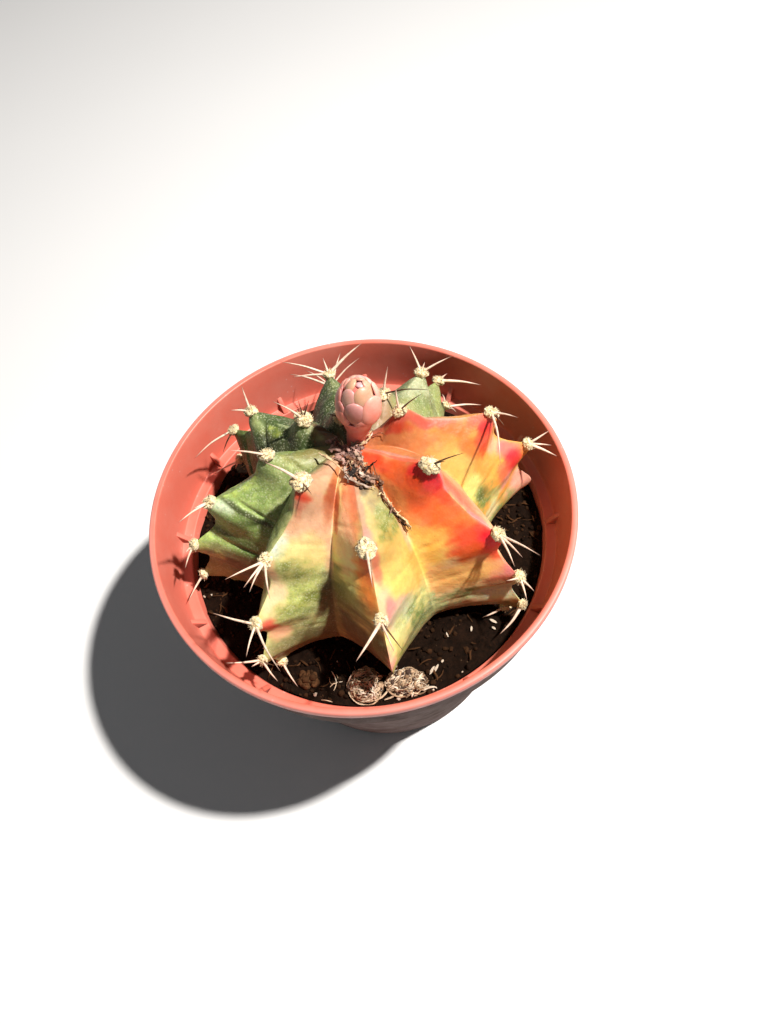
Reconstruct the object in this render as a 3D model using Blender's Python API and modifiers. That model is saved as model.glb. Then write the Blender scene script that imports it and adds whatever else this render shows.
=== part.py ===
# Potted moon cactus: an eight-ribbed cactus with woolly areoles and curved spines, a scaled flower bud,
# the dried remains of an old flower and a tangle of dry roots, growing in soil in a plastic nursery pot.
# Metres, +Z up. The origin is the middle of the pot's foot, and the plant's front is on the -Y side.
import math
import random
from collections import namedtuple

import bmesh
import bpy
from mathutils import Matrix, Vector

MM = 0.001
GAP = 0.3 * MM  # clearance between pieces that touch
SEAT_GAP = 0.4 * MM  # the same on the ribbed body, where the seat's facets lie a little deep

# Pot
RIM_RADIUS = 51 * MM
POT_HEIGHT = 84 * MM
POT_WALL = 1.0 * MM
LIP_WIDTH = 1.6 * MM
LIP_HEIGHT = 2.2 * MM
LIP_ROUND = 0.3 * MM
COLLAR_DEPTH = 15.3 * MM
COLLAR_TAPER = 1.8 * MM
LEDGE_WIDTH = 2.7 * MM
FOOT_RADIUS = 34.5 * MM
FOOT_RING_WIDTH = 4.5 * MM
FOOT_LIFT = 1.6 * MM
FLOOR_THICKNESS = 1.4 * MM
WALL_BEVEL = 0.8 * MM  # the sloping corners of the foot ring and of the floor
LEDGE_EASE = 0.3 * MM  # the small slopes where the ledge meets the wall
LEDGE_FALL = 0.15 * MM
POT_STEPS = 48
LUG_COUNT = 12
LUG_START_DEG = 19
LUG_THICKNESS = 1.3 * MM
LUG_HEIGHT = 4.2 * MM
LUG_INNER_HEIGHT = 0.2 * MM
LUG_SINK = 0.5 * MM  # how far the lug runs into the ledge and the collar
DRAIN_COUNT = 6
DRAIN_RADIUS = 3 * MM
DRAIN_CIRCLE = 22 * MM
DRAIN_STEPS = 16

# Soil
SOIL_DEPTH = 17 * MM  # from the rim down to the soil
SOIL_LUMP = 1.5 * MM
SOIL_WALL_GAP = 0.4 * MM
SOIL_CORNER = 1.2 * MM
SOIL_STEPS = 48
SOIL_RINGS = 11
NECK_RADIUS = 13 * MM
NECK_FLARE = 3 * MM
NECK_TAPER = 1.5 * MM
NECK_DEPTH = 11 * MM

# Cactus body: where the ridge and the groove run, as (distance from the axis, height over the soil) in mm
RIDGE_LINE = [
    (0, 36), (5, 37.8), (12, 40), (20, 39.5), (27, 36.5), (33.5, 31), (38, 25), (41, 18), (42, 10), (41, 4),
    (38.5, 0.3),
]
GROOVE_LINE = [
    (0, 36), (4, 36.2), (10, 36), (16, 33.5), (21.5, 29.5), (26, 24), (29, 17), (30.8, 10), (30.6, 4), (28, 0.3),
]
CROWN_SET_BACK = 5 * MM  # the crown leans back over the root by this much
FLANK_FALL = 0.12  # how much lower a flank lies by the groove than its curve alone gives
RIDGE_POWER = (1.7, 0.75)  # how blunt the ridge is, at the crown and by the soil
CREST_ROUND = 0.12  # the rounding of the ridge line, as a share of half a rib, and how much less it is on a chin
CHIN_SHARPER = 0.07
PINCH = 0.15  # how much the flanks draw in beside a chin
VALLEY = 0.5  # how far the grooves open out towards the soil
VALLEY_START = 0.3  # where they start to, as a share of the way down
VALLEY_RUN = 0.45
CREST_RUN = 1 / 6  # the shares of the way down over which each of these comes in, from the crown
BLUNT_RUN = 0.4
PINCH_RUN = 0.5
REACH_RUN = 0.5
HEIGHT_RUN = 0.25
FOOT_RUN = 1 / 8  # and over which the chins fade out again, up from the soil
HALF_RIB_STEPS = (0.0, 0.14, 0.36, 0.68)  # vertices from the ridge towards the groove
BODY_RINGS = 28
BODY_MIDDLE = Vector((0, 0, 15)) * MM
BASE_RINGS = 4
CHIN = 4.8 * MM
CHIN_ABOVE = 5.4 * MM  # a chin rises slowly above its top and drops fast below it
CHIN_BELOW = 3.1 * MM
CHIN_DROP = 1.0 * MM
CHIN_SINK = 0.4  # the notch between two chins, as a share of a chin

# Direction in degrees, reach and height as shares of the ridge line, and how far down the ridge from the crown, in
# mm, each areole and each bare chin lies. The back ribs are shorter and lower.
Rib = namedtuple("Rib", "direction reach height areoles bare_chins", defaults=[()])
RIBS = [
    Rib(2, 1.00, 1.00, (13, 35, 49.5), (63,)),
    Rib(45, 0.87, 0.88, (14, 36, 47, 60)),
    Rib(92, 0.81, 0.86, (10, 35, 50, 62)),
    Rib(137, 0.91, 0.89, (12, 32, 48, 62)),
    Rib(186, 0.94, 1.00, (19, 37, 51, 62)),
    Rib(226, 0.98, 1.00, (16, 34, 49, 60, 68)),
    Rib(268, 1.00, 1.00, (29, 43.5), (54,)),
    Rib(313, 1.01, 1.00, (22, 39.5, 52, 61.5, 68)),
]
AREOLE_SIZE = (1.9 * MM, 2.2 * MM, 1.5 * MM)  # half width, half length and how far it stands out

# Spines
SPINE_LENGTH = 8.5 * MM
SPINE_RADIUS = 0.42 * MM
SPINE_ROOT = 1.2 * MM  # how deep it starts, under the areole's top
SPINE_RISE = 0.5 * MM
SPINE_BEND = 0.22
SPINE_SHARES = (0, 0.36, 0.7, 1)  # where its rings are
SPINE_TAPER = 0.6
SPINE_VARIETY_DEG = (10, 8)  # how much its direction and its tilt vary
SPINE_LENGTHS = (0.85, 1.05)
SPINE_LOWERING_DEG = 4  # it is laid lower in these steps, and shortened, until it clears the pot
SPINE_LOWEST_DEG = -10
SPINE_SHORTENING = 0.97
SPINE_FANS_DEG = (-62, 4, 66)  # round the areole, from straight down the ridge
SPINE_TILT_DEG = 42  # up from the skin
WALL_CLEARANCE = 1.0 * MM
LOW_AREOLE = 60 * MM  # areoles this far down the ridge or further have one spine

# Flower bud
BUD_FOOT = Vector((2.4, 4.4, 36.4)) * MM  # over the soil
BUD_HEAD = Vector((4.4, 5.8, 50.6)) * MM
BUD_STEM_RADIUS = 3.0 * MM
BUD_HEAD_RADIUS = 4.1 * MM
BUD_SWELL = (0.25, 0.4)  # where the stem starts to widen into the head, and over how much of the length
BUD_CLOSE = 0.72  # where the head starts to round over
BUD_SCALES = 24
BUD_SCALE_SIZE = 2.4 * MM
BUD_SCALE_THICKNESS = 0.34  # as a share of its half width
BUD_SCALE_SINK = 0.25 * MM
BUD_SCALE_SPAN = (0.14, 0.92)  # from the lowest scale to the top one, as shares of the length
BUD_SLOPE_STEP = 0.06
GOLDEN_TURN_DEG = 137.5

# Dried flower remains
REMAINS_PLACE = Vector((1.4, -5.5, 39.6)) * MM  # over the soil
REMAINS_SIZE = Vector((4.2, 3.8, 2.4)) * MM
HOLLOW_RADIUS = 1.7 * MM
HOLLOW_DEPTH = 4 * MM
HOLLOW_SHIFT = Vector((0.4, -0.3, 2.4)) * MM
LUMP_ROUGHNESS = 0.18
SHRED_RADIUS = 0.6 * MM
TWIG_RADIUS = 0.75 * MM
TWIG = [(2.4, 0.4, -1.6), (3.9, -2.7, -3.5), (5.2, -6.4, -5.3), (7.0, -9.5, -7.2), (8.6, -12.0, -8.6)]
SHREDS = [  # both from the middle of the remains, in mm
    [(-2.0, -0.5, 0.6), (-5.2, 0.8, 1.2), (-8.4, 2.0, 0.6)],
    [(-2.0, 1.0, 0.6), (-4.6, 2.6, 1.8), (-7.2, 3.2, 1.2)],
    [(-1.6, 2.0, 0.2), (-3.2, 4.4, 1.2), (-5.2, 6.4, 0.8)],
    [(1.2, 0.4, 0.8), (3.0, 1.8, 2.4), (4.6, 2.6, 4.6)],
    [(0.8, 2.0, 0.4), (1.0, 4.0, 1.0), (1.2, 6.2, 0.6)],
]

# Dry roots: the middle of each clump and its half size
ROOT_CLUMPS = [
    (Vector((-8.2, -40.0, 1.2)) * MM, Vector((4.6, 2.9, 2.4)) * MM),
    (Vector((1.2, -41.0, 0.9)) * MM, Vector((5.0, 2.5, 1.9)) * MM),
]
ROOT_LINK = [(-9, -41.5, 1.2), (-4.5, -43, 1.6), (1, -43.2, 1.3), (6, -41.5, 1.0)]  # past the front rib's foot
ROOTS_PER_CLUMP = 8
ROOT_RADIUS = 0.45 * MM
ROOT_CORE = 0.8  # the clump's lump, as a share of its size
ROOT_SWEEPS = (1.2, 2.2)  # how far a strand runs round its clump, in radians
ROOT_LEANS = (0.2, 1.0)  # how far up the clump it climbs
ROOT_POINTS = 5
ROOT_DRAW_IN = 0.35  # how far a strand draws in where it is highest

SOIL_TOP = POT_HEIGHT - SOIL_DEPTH
LEDGE_TOP = POT_HEIGHT - COLLAR_DEPTH
COLLAR_TOP_INSIDE = RIM_RADIUS - LIP_WIDTH
COLLAR_FOOT_INSIDE = COLLAR_TOP_INSIDE - COLLAR_TAPER
LEDGE_INSIDE = COLLAR_FOOT_INSIDE - LEDGE_WIDTH
FLOOR_TOP = FOOT_LIFT + FLOOR_THICKNESS
FLOOR_INSIDE = FOOT_RADIUS - POT_WALL + 0.2 * MM
OBJECT_NAME = "potted_moon_cactus"


def clear_scene():
    for old in list(bpy.data.objects):
        bpy.data.objects.remove(old, do_unlink=True)


def new_collection(name):
    group = bpy.data.collections.new(name)
    bpy.context.scene.collection.children.link(group)
    return group


def finish(name, colour, roughness):
    material = bpy.data.materials.new(name)
    material.use_nodes = True
    shader = material.node_tree.nodes["Principled BSDF"]
    shader.inputs["Base Color"].default_value = (*colour, 1)
    shader.inputs["Roughness"].default_value = roughness
    return material


def add_object(name, mesh, group):
    piece = bpy.data.objects.new(name, mesh)
    group.objects.link(piece)
    return piece


def mesh_from(bm, name):
    mesh = bpy.data.meshes.new(name)
    bm.to_mesh(mesh)
    bm.free()
    return mesh


def apply_modifiers(piece):
    graph = bpy.context.evaluated_depsgraph_get()
    mesh = bpy.data.meshes.new_from_object(piece.evaluated_get(graph))
    piece.modifiers.clear()
    piece.data = mesh


def turned_outline(name, outline, group, steps):
    """A body of revolution: the outline is a list of (radius, height), down the outer side first."""
    mesh = bpy.data.meshes.new(name)
    edges = [(i, i + 1) for i in range(len(outline) - 1)]
    mesh.from_pydata([(radius, 0, height) for radius, height in outline], edges, [])
    piece = add_object(name, mesh, group)
    screw = piece.modifiers.new("Turn", "SCREW")
    screw.steps = screw.render_steps = steps
    screw.use_merge_vertices = True
    screw.merge_threshold = 0.01 * MM
    apply_modifiers(piece)
    return piece


def fuse(piece, parts, group):
    """Joins the parts to the piece with one Boolean union, and removes them."""
    extras = new_collection(piece.name + "_repeats")
    for part in parts:
        group.objects.unlink(part)
        extras.objects.link(part)
    union = piece.modifiers.new("Fuse", "BOOLEAN")
    union.operation = "UNION"
    union.operand_type = "COLLECTION"
    union.collection = extras
    union.solver = "EXACT"
    apply_modifiers(piece)
    for part in parts:
        bpy.data.objects.remove(part, do_unlink=True)
    bpy.data.collections.remove(extras)
    keep_largest_body(piece)


def keep_largest_body(piece):
    """Drops loose scraps that a union can leave."""
    bm = bmesh.new()
    bm.from_mesh(piece.data)
    bmesh.ops.remove_doubles(bm, verts=bm.verts, dist=0.002 * MM)
    bmesh.ops.dissolve_degenerate(bm, edges=bm.edges, dist=0.002 * MM)
    unseen = set(bm.faces)
    bodies = []
    while unseen:
        front = [unseen.pop()]
        body = list(front)
        while front:
            near = {other for edge in front.pop().edges for other in edge.link_faces} & unseen
            unseen -= near
            front.extend(near)
            body.extend(near)
        bodies.append(body)
    bodies.sort(key=len)
    for body in bodies[:-1]:
        bmesh.ops.delete(bm, geom=body, context="FACES")
    bm.to_mesh(piece.data)
    bm.free()


def smooth_line(points, count):
    """Evenly spaced points on a smooth curve through the given ones."""
    ends = [points[0], *points, points[-1]]
    fine = []
    for a, b, c, d in zip(ends, ends[1:], ends[2:], ends[3:]):
        for step in range(12):
            t = step / 12
            bend = (2 * a - 5 * b + 4 * c - d) * t * t + (3 * b - a - 3 * c + d) * t ** 3
            fine.append(0.5 * (2 * b + (c - a) * t + bend))
    fine.append(points[-1])
    reached = [0.0]
    for a, b in zip(fine, fine[1:]):
        reached.append(reached[-1] + (b - a).length)
    line = []
    place = 0
    for i in range(count):
        wanted = reached[-1] * i / (count - 1)
        while place < len(fine) - 2 and reached[place + 1] < wanted:
            place += 1
        share = (wanted - reached[place]) / (reached[place + 1] - reached[place])
        line.append(fine[place].lerp(fine[place + 1], share))
    return line


def pot_inside_radius(height):
    """The pot's inner wall at a height over its foot."""
    if height > LEDGE_TOP:
        share = (height - LEDGE_TOP) / COLLAR_DEPTH
        return COLLAR_FOOT_INSIDE + COLLAR_TAPER * share
    share = (height - FLOOR_TOP) / (LEDGE_TOP - FLOOR_TOP)
    return FLOOR_INSIDE + (LEDGE_INSIDE - FLOOR_INSIDE) * share


def make_lug(group, index):
    """A small gusset between the ledge and the collar, which keeps stacked pots apart."""
    bm = bmesh.new()
    bmesh.ops.create_cube(bm, size=1)
    inner = LEDGE_INSIDE + LEDGE_EASE
    outer = COLLAR_FOOT_INSIDE + LUG_SINK
    for vert in bm.verts:
        on_wall = vert.co.x > 0
        top = LEDGE_TOP + (LUG_HEIGHT if on_wall else LUG_INNER_HEIGHT)
        vert.co.z = top if vert.co.z > 0 else LEDGE_TOP - LUG_SINK
        vert.co.x = outer if on_wall else inner
        vert.co.y *= LUG_THICKNESS
    angle = math.radians(LUG_START_DEG + 360 * index / LUG_COUNT)
    bmesh.ops.rotate(bm, verts=bm.verts, matrix=Matrix.Rotation(angle, 3, "Z"))
    return add_object("lug", mesh_from(bm, "lug"), group)


def make_pot(group, cutters):
    top = POT_HEIGHT
    under_lip = COLLAR_TOP_INSIDE + POT_WALL - LEDGE_EASE
    collar_outside = COLLAR_FOOT_INSIDE + POT_WALL
    ring_inside = FOOT_RADIUS - FOOT_RING_WIDTH
    outline = [
        (COLLAR_TOP_INSIDE + LIP_ROUND, top),
        (RIM_RADIUS - LIP_ROUND, top),
        (RIM_RADIUS, top - LIP_ROUND),
        (RIM_RADIUS, top - LIP_HEIGHT + LIP_ROUND),
        (RIM_RADIUS - LIP_ROUND, top - LIP_HEIGHT),
        (under_lip, top - LIP_HEIGHT),
        (collar_outside, LEDGE_TOP - LEDGE_EASE),
        (collar_outside - 2 * LEDGE_EASE, LEDGE_TOP - POT_WALL),
        (LEDGE_INSIDE + POT_WALL, LEDGE_TOP - POT_WALL - LEDGE_EASE),
        (FOOT_RADIUS, WALL_BEVEL),
        (FOOT_RADIUS - WALL_BEVEL, 0),
        (ring_inside, 0),
        (ring_inside - WALL_BEVEL, FOOT_LIFT),
        (0, FOOT_LIFT),
    ]
    inside = [
        (0, FLOOR_TOP),
        (FLOOR_INSIDE - WALL_BEVEL, FLOOR_TOP),
        (FLOOR_INSIDE, FLOOR_TOP + WALL_BEVEL),
        (LEDGE_INSIDE, LEDGE_TOP - LEDGE_EASE),
        (LEDGE_INSIDE + LEDGE_EASE, LEDGE_TOP),
        (COLLAR_FOOT_INSIDE, LEDGE_TOP + LEDGE_FALL),
        (COLLAR_TOP_INSIDE, top - LIP_ROUND),
    ]
    # the outline is one loop that starts and ends on the axis: up the inner side and down the outer one
    pot = turned_outline("pot", inside + outline, group, POT_STEPS)
    lugs = [make_lug(group, index) for index in range(LUG_COUNT)]
    fuse(pot, lugs, group)
    for index in range(DRAIN_COUNT):
        angle = 2 * math.pi * index / DRAIN_COUNT
        bm = bmesh.new()
        bmesh.ops.create_cone(
            bm, cap_ends=True, segments=DRAIN_STEPS, radius1=DRAIN_RADIUS, radius2=DRAIN_RADIUS,
            depth=4 * FLOOR_THICKNESS,
        )
        drill = add_object(f"drain_cutter_{index + 1}", mesh_from(bm, "drain_cutter"), cutters)
        drill.location = (DRAIN_CIRCLE * math.cos(angle), DRAIN_CIRCLE * math.sin(angle), FLOOR_TOP)
        drill.hide_render = True
        drill.display_type = "WIRE"
    cut = pot.modifiers.new("Drain holes", "BOOLEAN")
    cut.operation = "DIFFERENCE"
    cut.operand_type = "COLLECTION"
    cut.collection = cutters
    cut.solver = "EXACT"
    pot.data.materials.append(finish("terracotta_plastic", (0.78, 0.24, 0.14), 0.42))
    return pot


def soil_hollow(x, y):
    """How far the soil dips under its highest lumps, from 0 to SOIL_LUMP."""
    waves = math.sin(210 * x + 1.3 * math.sin(260 * y)) * math.cos(240 * y + 0.7 + 1.1 * math.sin(190 * x))
    return SOIL_LUMP * (0.5 - 0.5 * waves)


def make_soil(group):
    floor = FLOOR_TOP + GAP
    wall_low = pot_inside_radius(FLOOR_TOP) - 2 * SOIL_WALL_GAP
    wall_top = pot_inside_radius(SOIL_TOP) - SOIL_WALL_GAP
    hole = NECK_RADIUS + GAP
    outline = [(0, SOIL_TOP - NECK_DEPTH), (hole, SOIL_TOP - NECK_DEPTH)]
    for ring in range(SOIL_RINGS):
        outline.append((hole + (wall_top - hole) * ring / (SOIL_RINGS - 1), SOIL_TOP))
    outline += [(wall_low, floor + WALL_BEVEL), (wall_low - SOIL_CORNER, floor), (0, floor)]
    soil = turned_outline("soil", outline, group, SOIL_STEPS)
    for vert in soil.data.vertices:
        if vert.co.z > SOIL_TOP - GAP:
            vert.co.z -= soil_hollow(vert.co.x, vert.co.y)
    soil.data.materials.append(finish("dark_soil", (0.035, 0.022, 0.013), 0.95))
    return soil


def centre_at(height):
    """The middle of the body at a height over the soil."""
    share = max(0.0, min(1.0, height / (RIDGE_LINE[0][1] * MM)))
    return Vector((0, CROWN_SET_BACK * share, 0))


def line_points(pairs, count):
    return smooth_line([Vector((radius, 0, height)) * MM for radius, height in pairs], count)


def ridge_length(ridge):
    return sum((b - a).length for a, b in zip(ridge, ridge[1:]))


def swell_at(distance, places):
    """How far the ridge swells at a distance from the crown: 1 on a chin, little between two of them."""
    swell = 0.0
    for place in places:
        away = distance - place * MM - CHIN_DROP
        away /= CHIN_ABOVE if away < 0 else CHIN_BELOW
        swell += math.exp(-away * away)
    return swell


def next_rib(rib, side):
    """The neighbour on that side, and its direction counted on from the rib's own."""
    step = -1 if side < 0 else 1
    other = RIBS[(rib + step) % len(RIBS)]
    turn = (other.direction - RIBS[rib].direction) % (360 * step)
    return other, RIBS[rib].direction + turn


def skin_point(ridge, groove, ring, rib, side):
    """A point of the ribbed skin: ring 0 is the crown, and side runs from -1 to 1 across the rib."""
    own = RIBS[rib]
    other, other_direction = next_rib(rib, side)
    share = ring / (len(ridge) - 1)
    swell = swell_at(ridge_length(ridge) * share, own.areoles + own.bare_chins)
    chin_share = min(1, swell)
    blunt = (CREST_ROUND - CHIN_SHARPER * chin_share) * min(1, share / BLUNT_RUN)
    across = (math.hypot(side, blunt) - blunt) / (math.hypot(1, blunt) - blunt)
    power = RIDGE_POWER[0] + (RIDGE_POWER[1] - RIDGE_POWER[0]) * share
    power -= PINCH * chin_share * min(1, share / PINCH_RUN)
    valley = 1 + VALLEY * max(0, min(1, (share - VALLEY_START) / VALLEY_RUN))
    rise = (1 - across ** power) ** valley * (1 - FLANK_FALL * across)
    along = (ridge[min(ring + 1, len(ridge) - 1)] - ridge[max(ring - 1, 0)]).normalized()
    normal = Vector((-along.z, 0, along.x))
    fade = min(1, share / CREST_RUN) * min(1, (1 - share) / FOOT_RUN)
    crest = ridge[ring] + normal * CHIN * (swell - CHIN_SINK) * fade
    flat = groove[ring].lerp(crest, rise)
    reach = own.reach + (other.reach - own.reach) * across / 2
    height = own.height + (other.height - own.height) * across / 2
    radius = flat.x * (1 - (1 - reach) * min(1, share / REACH_RUN))
    level = flat.z * (1 - (1 - height) * min(1, share / HEIGHT_RUN))
    angle = math.radians(own.direction + (other_direction - own.direction) * across / 2)
    return Vector((radius * math.cos(angle), radius * math.sin(angle), level)) + centre_at(level)


def ridge_frame(ridge, groove, rib, distance):
    """The skin's place, normal and downhill direction on a ridge, at a distance from the crown."""
    rings = len(ridge) - 1
    ring = distance / ridge_length(ridge) * rings
    low = int(ring)
    here = skin_point(ridge, groove, low, rib, 0).lerp(skin_point(ridge, groove, low + 1, rib, 0), ring - low)
    below = skin_point(ridge, groove, min(low + 2, rings), rib, 0)
    above = skin_point(ridge, groove, max(low - 1, 0), rib, 0)
    down = (below - above).normalized()
    angle = math.radians(RIBS[rib].direction)
    sideways = Vector((-math.sin(angle), math.cos(angle), 0))
    normal = sideways.cross(down).normalized()
    if normal.dot(here - BODY_MIDDLE) < 0:
        normal.negate()
    return here, normal, down, sideways


def make_skin(ridge, groove):
    """The ribbed body from a sphere: its rings follow the ribs down to the soil, then close under the plant."""
    around = 2 * len(RIBS) * len(HALF_RIB_STEPS)
    rings = BODY_RINGS + BASE_RINGS
    bm = bmesh.new()
    bmesh.ops.create_uvsphere(bm, u_segments=around, v_segments=rings, radius=1)
    per_rib = 2 * len(HALF_RIB_STEPS)
    sides = [0.0, *HALF_RIB_STEPS[1:], 1.0]
    base = [(NECK_RADIUS + NECK_FLARE, GAP), (NECK_RADIUS, 0), (NECK_RADIUS - NECK_TAPER, 2 * GAP - NECK_DEPTH)]
    for vert in bm.verts:
        ring = round(math.acos(max(-1, min(1, vert.co.z))) / math.pi * rings)
        step = round(math.atan2(vert.co.y, vert.co.x) / (2 * math.pi) * around) % around
        rib, part = divmod(step + per_rib // 2, per_rib)
        rib %= len(RIBS)
        part -= per_rib // 2
        side = math.copysign(sides[abs(part)], part)
        if ring <= BODY_RINGS:
            point = skin_point(ridge, groove, ring, rib, side)
        elif ring < rings:
            edge = skin_point(ridge, groove, BODY_RINGS, rib, side)
            radius, height = base[ring - BODY_RINGS - 1]
            flat = Vector((edge.x, edge.y, 0)).normalized() * radius
            point = Vector((flat.x, flat.y, height))
        else:
            point = Vector((0, 0, GAP - NECK_DEPTH))
        vert.co = point
    bmesh.ops.recalc_face_normals(bm, faces=bm.faces)
    return bm


def seat_on_body(piece, group):
    """Cuts the piece's underside to the body's own shape, with the usual clearance."""
    bm = make_skin(line_points(RIDGE_LINE, BODY_RINGS + 1), line_points(GROOVE_LINE, BODY_RINGS + 1))
    bm.normal_update()
    for vert in bm.verts:
        vert.co += vert.normal * SEAT_GAP
    body = add_object("seat", mesh_from(bm, "seat"), group)
    cut = piece.modifiers.new("Seat", "BOOLEAN")
    cut.operation = "DIFFERENCE"
    cut.object = body
    apply_modifiers(piece)
    bpy.data.objects.remove(body, do_unlink=True)
    keep_largest_body(piece)


def make_areole(group, place, normal, down, sideways):
    bm = bmesh.new()
    bmesh.ops.create_uvsphere(bm, u_segments=7, v_segments=6, radius=1)
    turn = Matrix((sideways, down, normal)).transposed()
    for vert in bm.verts:
        size = Vector(a * b for a, b in zip(vert.co, AREOLE_SIZE))
        vert.co = place + turn @ size
    bmesh.ops.recalc_face_normals(bm, faces=bm.faces)
    return add_object("areole", mesh_from(bm, "areole"), group)


def make_thorn(name, line, radius, group, sides=3):
    """A pointed curved rod along a line of points."""
    bm = bmesh.new()
    rings = []
    for index, point in enumerate(line[:-1]):
        ahead = (line[index + 1] - point).normalized()
        across = ahead.orthogonal() if index == 0 else across - ahead * across.dot(ahead)
        across.normalize()
        up = ahead.cross(across)
        thick = radius * (1 - SPINE_TAPER * index / (len(line) - 1))
        rings.append([
            bm.verts.new(point + (across * math.cos(a) + up * math.sin(a)) * thick)
            for a in (2 * math.pi * side / sides for side in range(sides))
        ])
    tip = bm.verts.new(line[-1])
    bm.faces.new(list(reversed(rings[0])))
    for near, far in zip(rings, rings[1:]):
        for side in range(sides):
            other = (side + 1) % sides
            bm.faces.new((near[side], near[other], far[other], far[side]))
    for side in range(sides):
        bm.faces.new((rings[-1][side], rings[-1][(side + 1) % sides], tip))
    bmesh.ops.recalc_face_normals(bm, faces=bm.faces)
    return add_object(name, mesh_from(bm, name), group)


def spine_line(place, normal, down, sideways, fan, tilt, length):
    """A spine's points: it leaves the areole in its fan direction and bends back towards the skin."""
    flat = down * math.cos(fan) + sideways * math.sin(fan)
    heading = flat * math.cos(tilt) + normal * math.sin(tilt)
    root = place - heading * SPINE_ROOT + normal * SPINE_RISE
    points = []
    for share in SPINE_SHARES:
        bend = normal * -SPINE_BEND * length * share * share
        points.append(root + heading * (length + SPINE_ROOT) * share + bend)
    return points


def spine_is_clear(line):
    for point in line:
        height = point.z + SOIL_TOP
        if height < POT_HEIGHT + 2 * MM:
            if math.hypot(point.x, point.y) > pot_inside_radius(min(height, POT_HEIGHT)) - WALL_CLEARANCE:
                return False
        if point.z < WALL_CLEARANCE:
            return False
    return True


def make_cactus(group):
    ridge = line_points(RIDGE_LINE, BODY_RINGS + 1)
    groove = line_points(GROOVE_LINE, BODY_RINGS + 1)
    mesh = mesh_from(make_skin(ridge, groove), "cactus_body")
    cactus = add_object("cactus_body", mesh, group)
    draws = random.Random(7)
    repeats = []
    for rib, own in enumerate(RIBS):
        for areole in own.areoles:
            place, normal, down, sideways = ridge_frame(ridge, groove, rib, areole * MM)
            repeats.append(make_areole(group, place, normal, down, sideways))
            for fan in SPINE_FANS_DEG if areole * MM < LOW_AREOLE else SPINE_FANS_DEG[1:2]:
                turn_range, tilt_range = SPINE_VARIETY_DEG
                fan_angle = math.radians(fan + draws.uniform(-turn_range, turn_range))
                tilt = math.radians(SPINE_TILT_DEG + draws.uniform(-tilt_range, tilt_range))
                length = SPINE_LENGTH * draws.uniform(*SPINE_LENGTHS)
                line = spine_line(place, normal, down, sideways, fan_angle, tilt, length)
                while not spine_is_clear(line) and tilt > math.radians(SPINE_LOWEST_DEG):
                    tilt -= math.radians(SPINE_LOWERING_DEG)
                    length *= SPINE_SHORTENING
                    line = spine_line(place, normal, down, sideways, fan_angle, tilt, length)
                repeats.append(make_thorn("spine", line, SPINE_RADIUS, group))
    fuse(cactus, repeats, group)
    cactus.location.z = SOIL_TOP
    cactus.data.materials.append(finish("cactus_skin", (0.80, 0.42, 0.16), 0.45))
    return cactus


def make_scale(group, place, outward, up, size):
    """A rounded bud scale: a flattened dome, leaning in at its tip."""
    bm = bmesh.new()
    bmesh.ops.create_uvsphere(bm, u_segments=7, v_segments=4, radius=1)
    across = up.cross(outward).normalized()
    turn = Matrix((across, up, outward)).transposed()
    for vert in bm.verts:
        vert.co = place + turn @ (Vector((vert.co.x, vert.co.y, vert.co.z * BUD_SCALE_THICKNESS)) * size)
    bmesh.ops.recalc_face_normals(bm, faces=bm.faces)
    return add_object("scale", mesh_from(bm, "scale"), group)


def make_bud(group):
    axis = (BUD_HEAD - BUD_FOOT).normalized()
    length = (BUD_HEAD - BUD_FOOT).length + BUD_HEAD_RADIUS
    bm = bmesh.new()
    bmesh.ops.create_uvsphere(bm, u_segments=12, v_segments=10, radius=1)
    turn = axis.to_track_quat("Z", "X").to_matrix()

    def radius_at(share):
        widening = min(1, max(0, (share - BUD_SWELL[0]) / BUD_SWELL[1]))
        closing = max(0, (share - BUD_CLOSE) / (1 - BUD_CLOSE))
        radius = BUD_STEM_RADIUS + (BUD_HEAD_RADIUS - BUD_STEM_RADIUS) * widening
        return radius * math.sqrt(max(0, 1 - closing ** 2))

    for vert in bm.verts:
        share = 0.5 + 0.5 * vert.co.z
        flat = Vector((vert.co.x, vert.co.y, 0)).normalized()
        radius = 0 if min(share, 1 - share) < 0.001 else radius_at(share)
        vert.co = BUD_FOOT + turn @ (flat * radius + Vector((0, 0, share * length)))
    bmesh.ops.recalc_face_normals(bm, faces=bm.faces)
    bud = add_object("flower_bud", mesh_from(bm, "flower_bud"), group)
    scales = []
    for index in range(BUD_SCALES):
        step = index / (BUD_SCALES - 1)
        share = BUD_SCALE_SPAN[0] + (BUD_SCALE_SPAN[1] - BUD_SCALE_SPAN[0]) * step
        angle = math.radians(GOLDEN_TURN_DEG * index)
        spread = Vector((math.cos(angle), math.sin(angle), 0))
        radius = radius_at(share)
        above, below = min(1, share + BUD_SLOPE_STEP), share - BUD_SLOPE_STEP
        slope = (radius_at(above) - radius_at(below)) / ((above - below) * length)
        up = (spread * slope + Vector((0, 0, 1))).normalized()
        outward = (spread - Vector((0, 0, 1)) * slope).normalized()
        place = spread * (radius - BUD_SCALE_SINK) + Vector((0, 0, share * length))
        scales.append(make_scale(group, BUD_FOOT + turn @ place, turn @ outward, turn @ up, BUD_SCALE_SIZE))
    fuse(bud, scales, group)
    seat_on_body(bud, group)
    bud.location.z = SOIL_TOP
    bud.data.materials.append(finish("bud_scales", (0.62, 0.33, 0.27), 0.55))
    return bud


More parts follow.
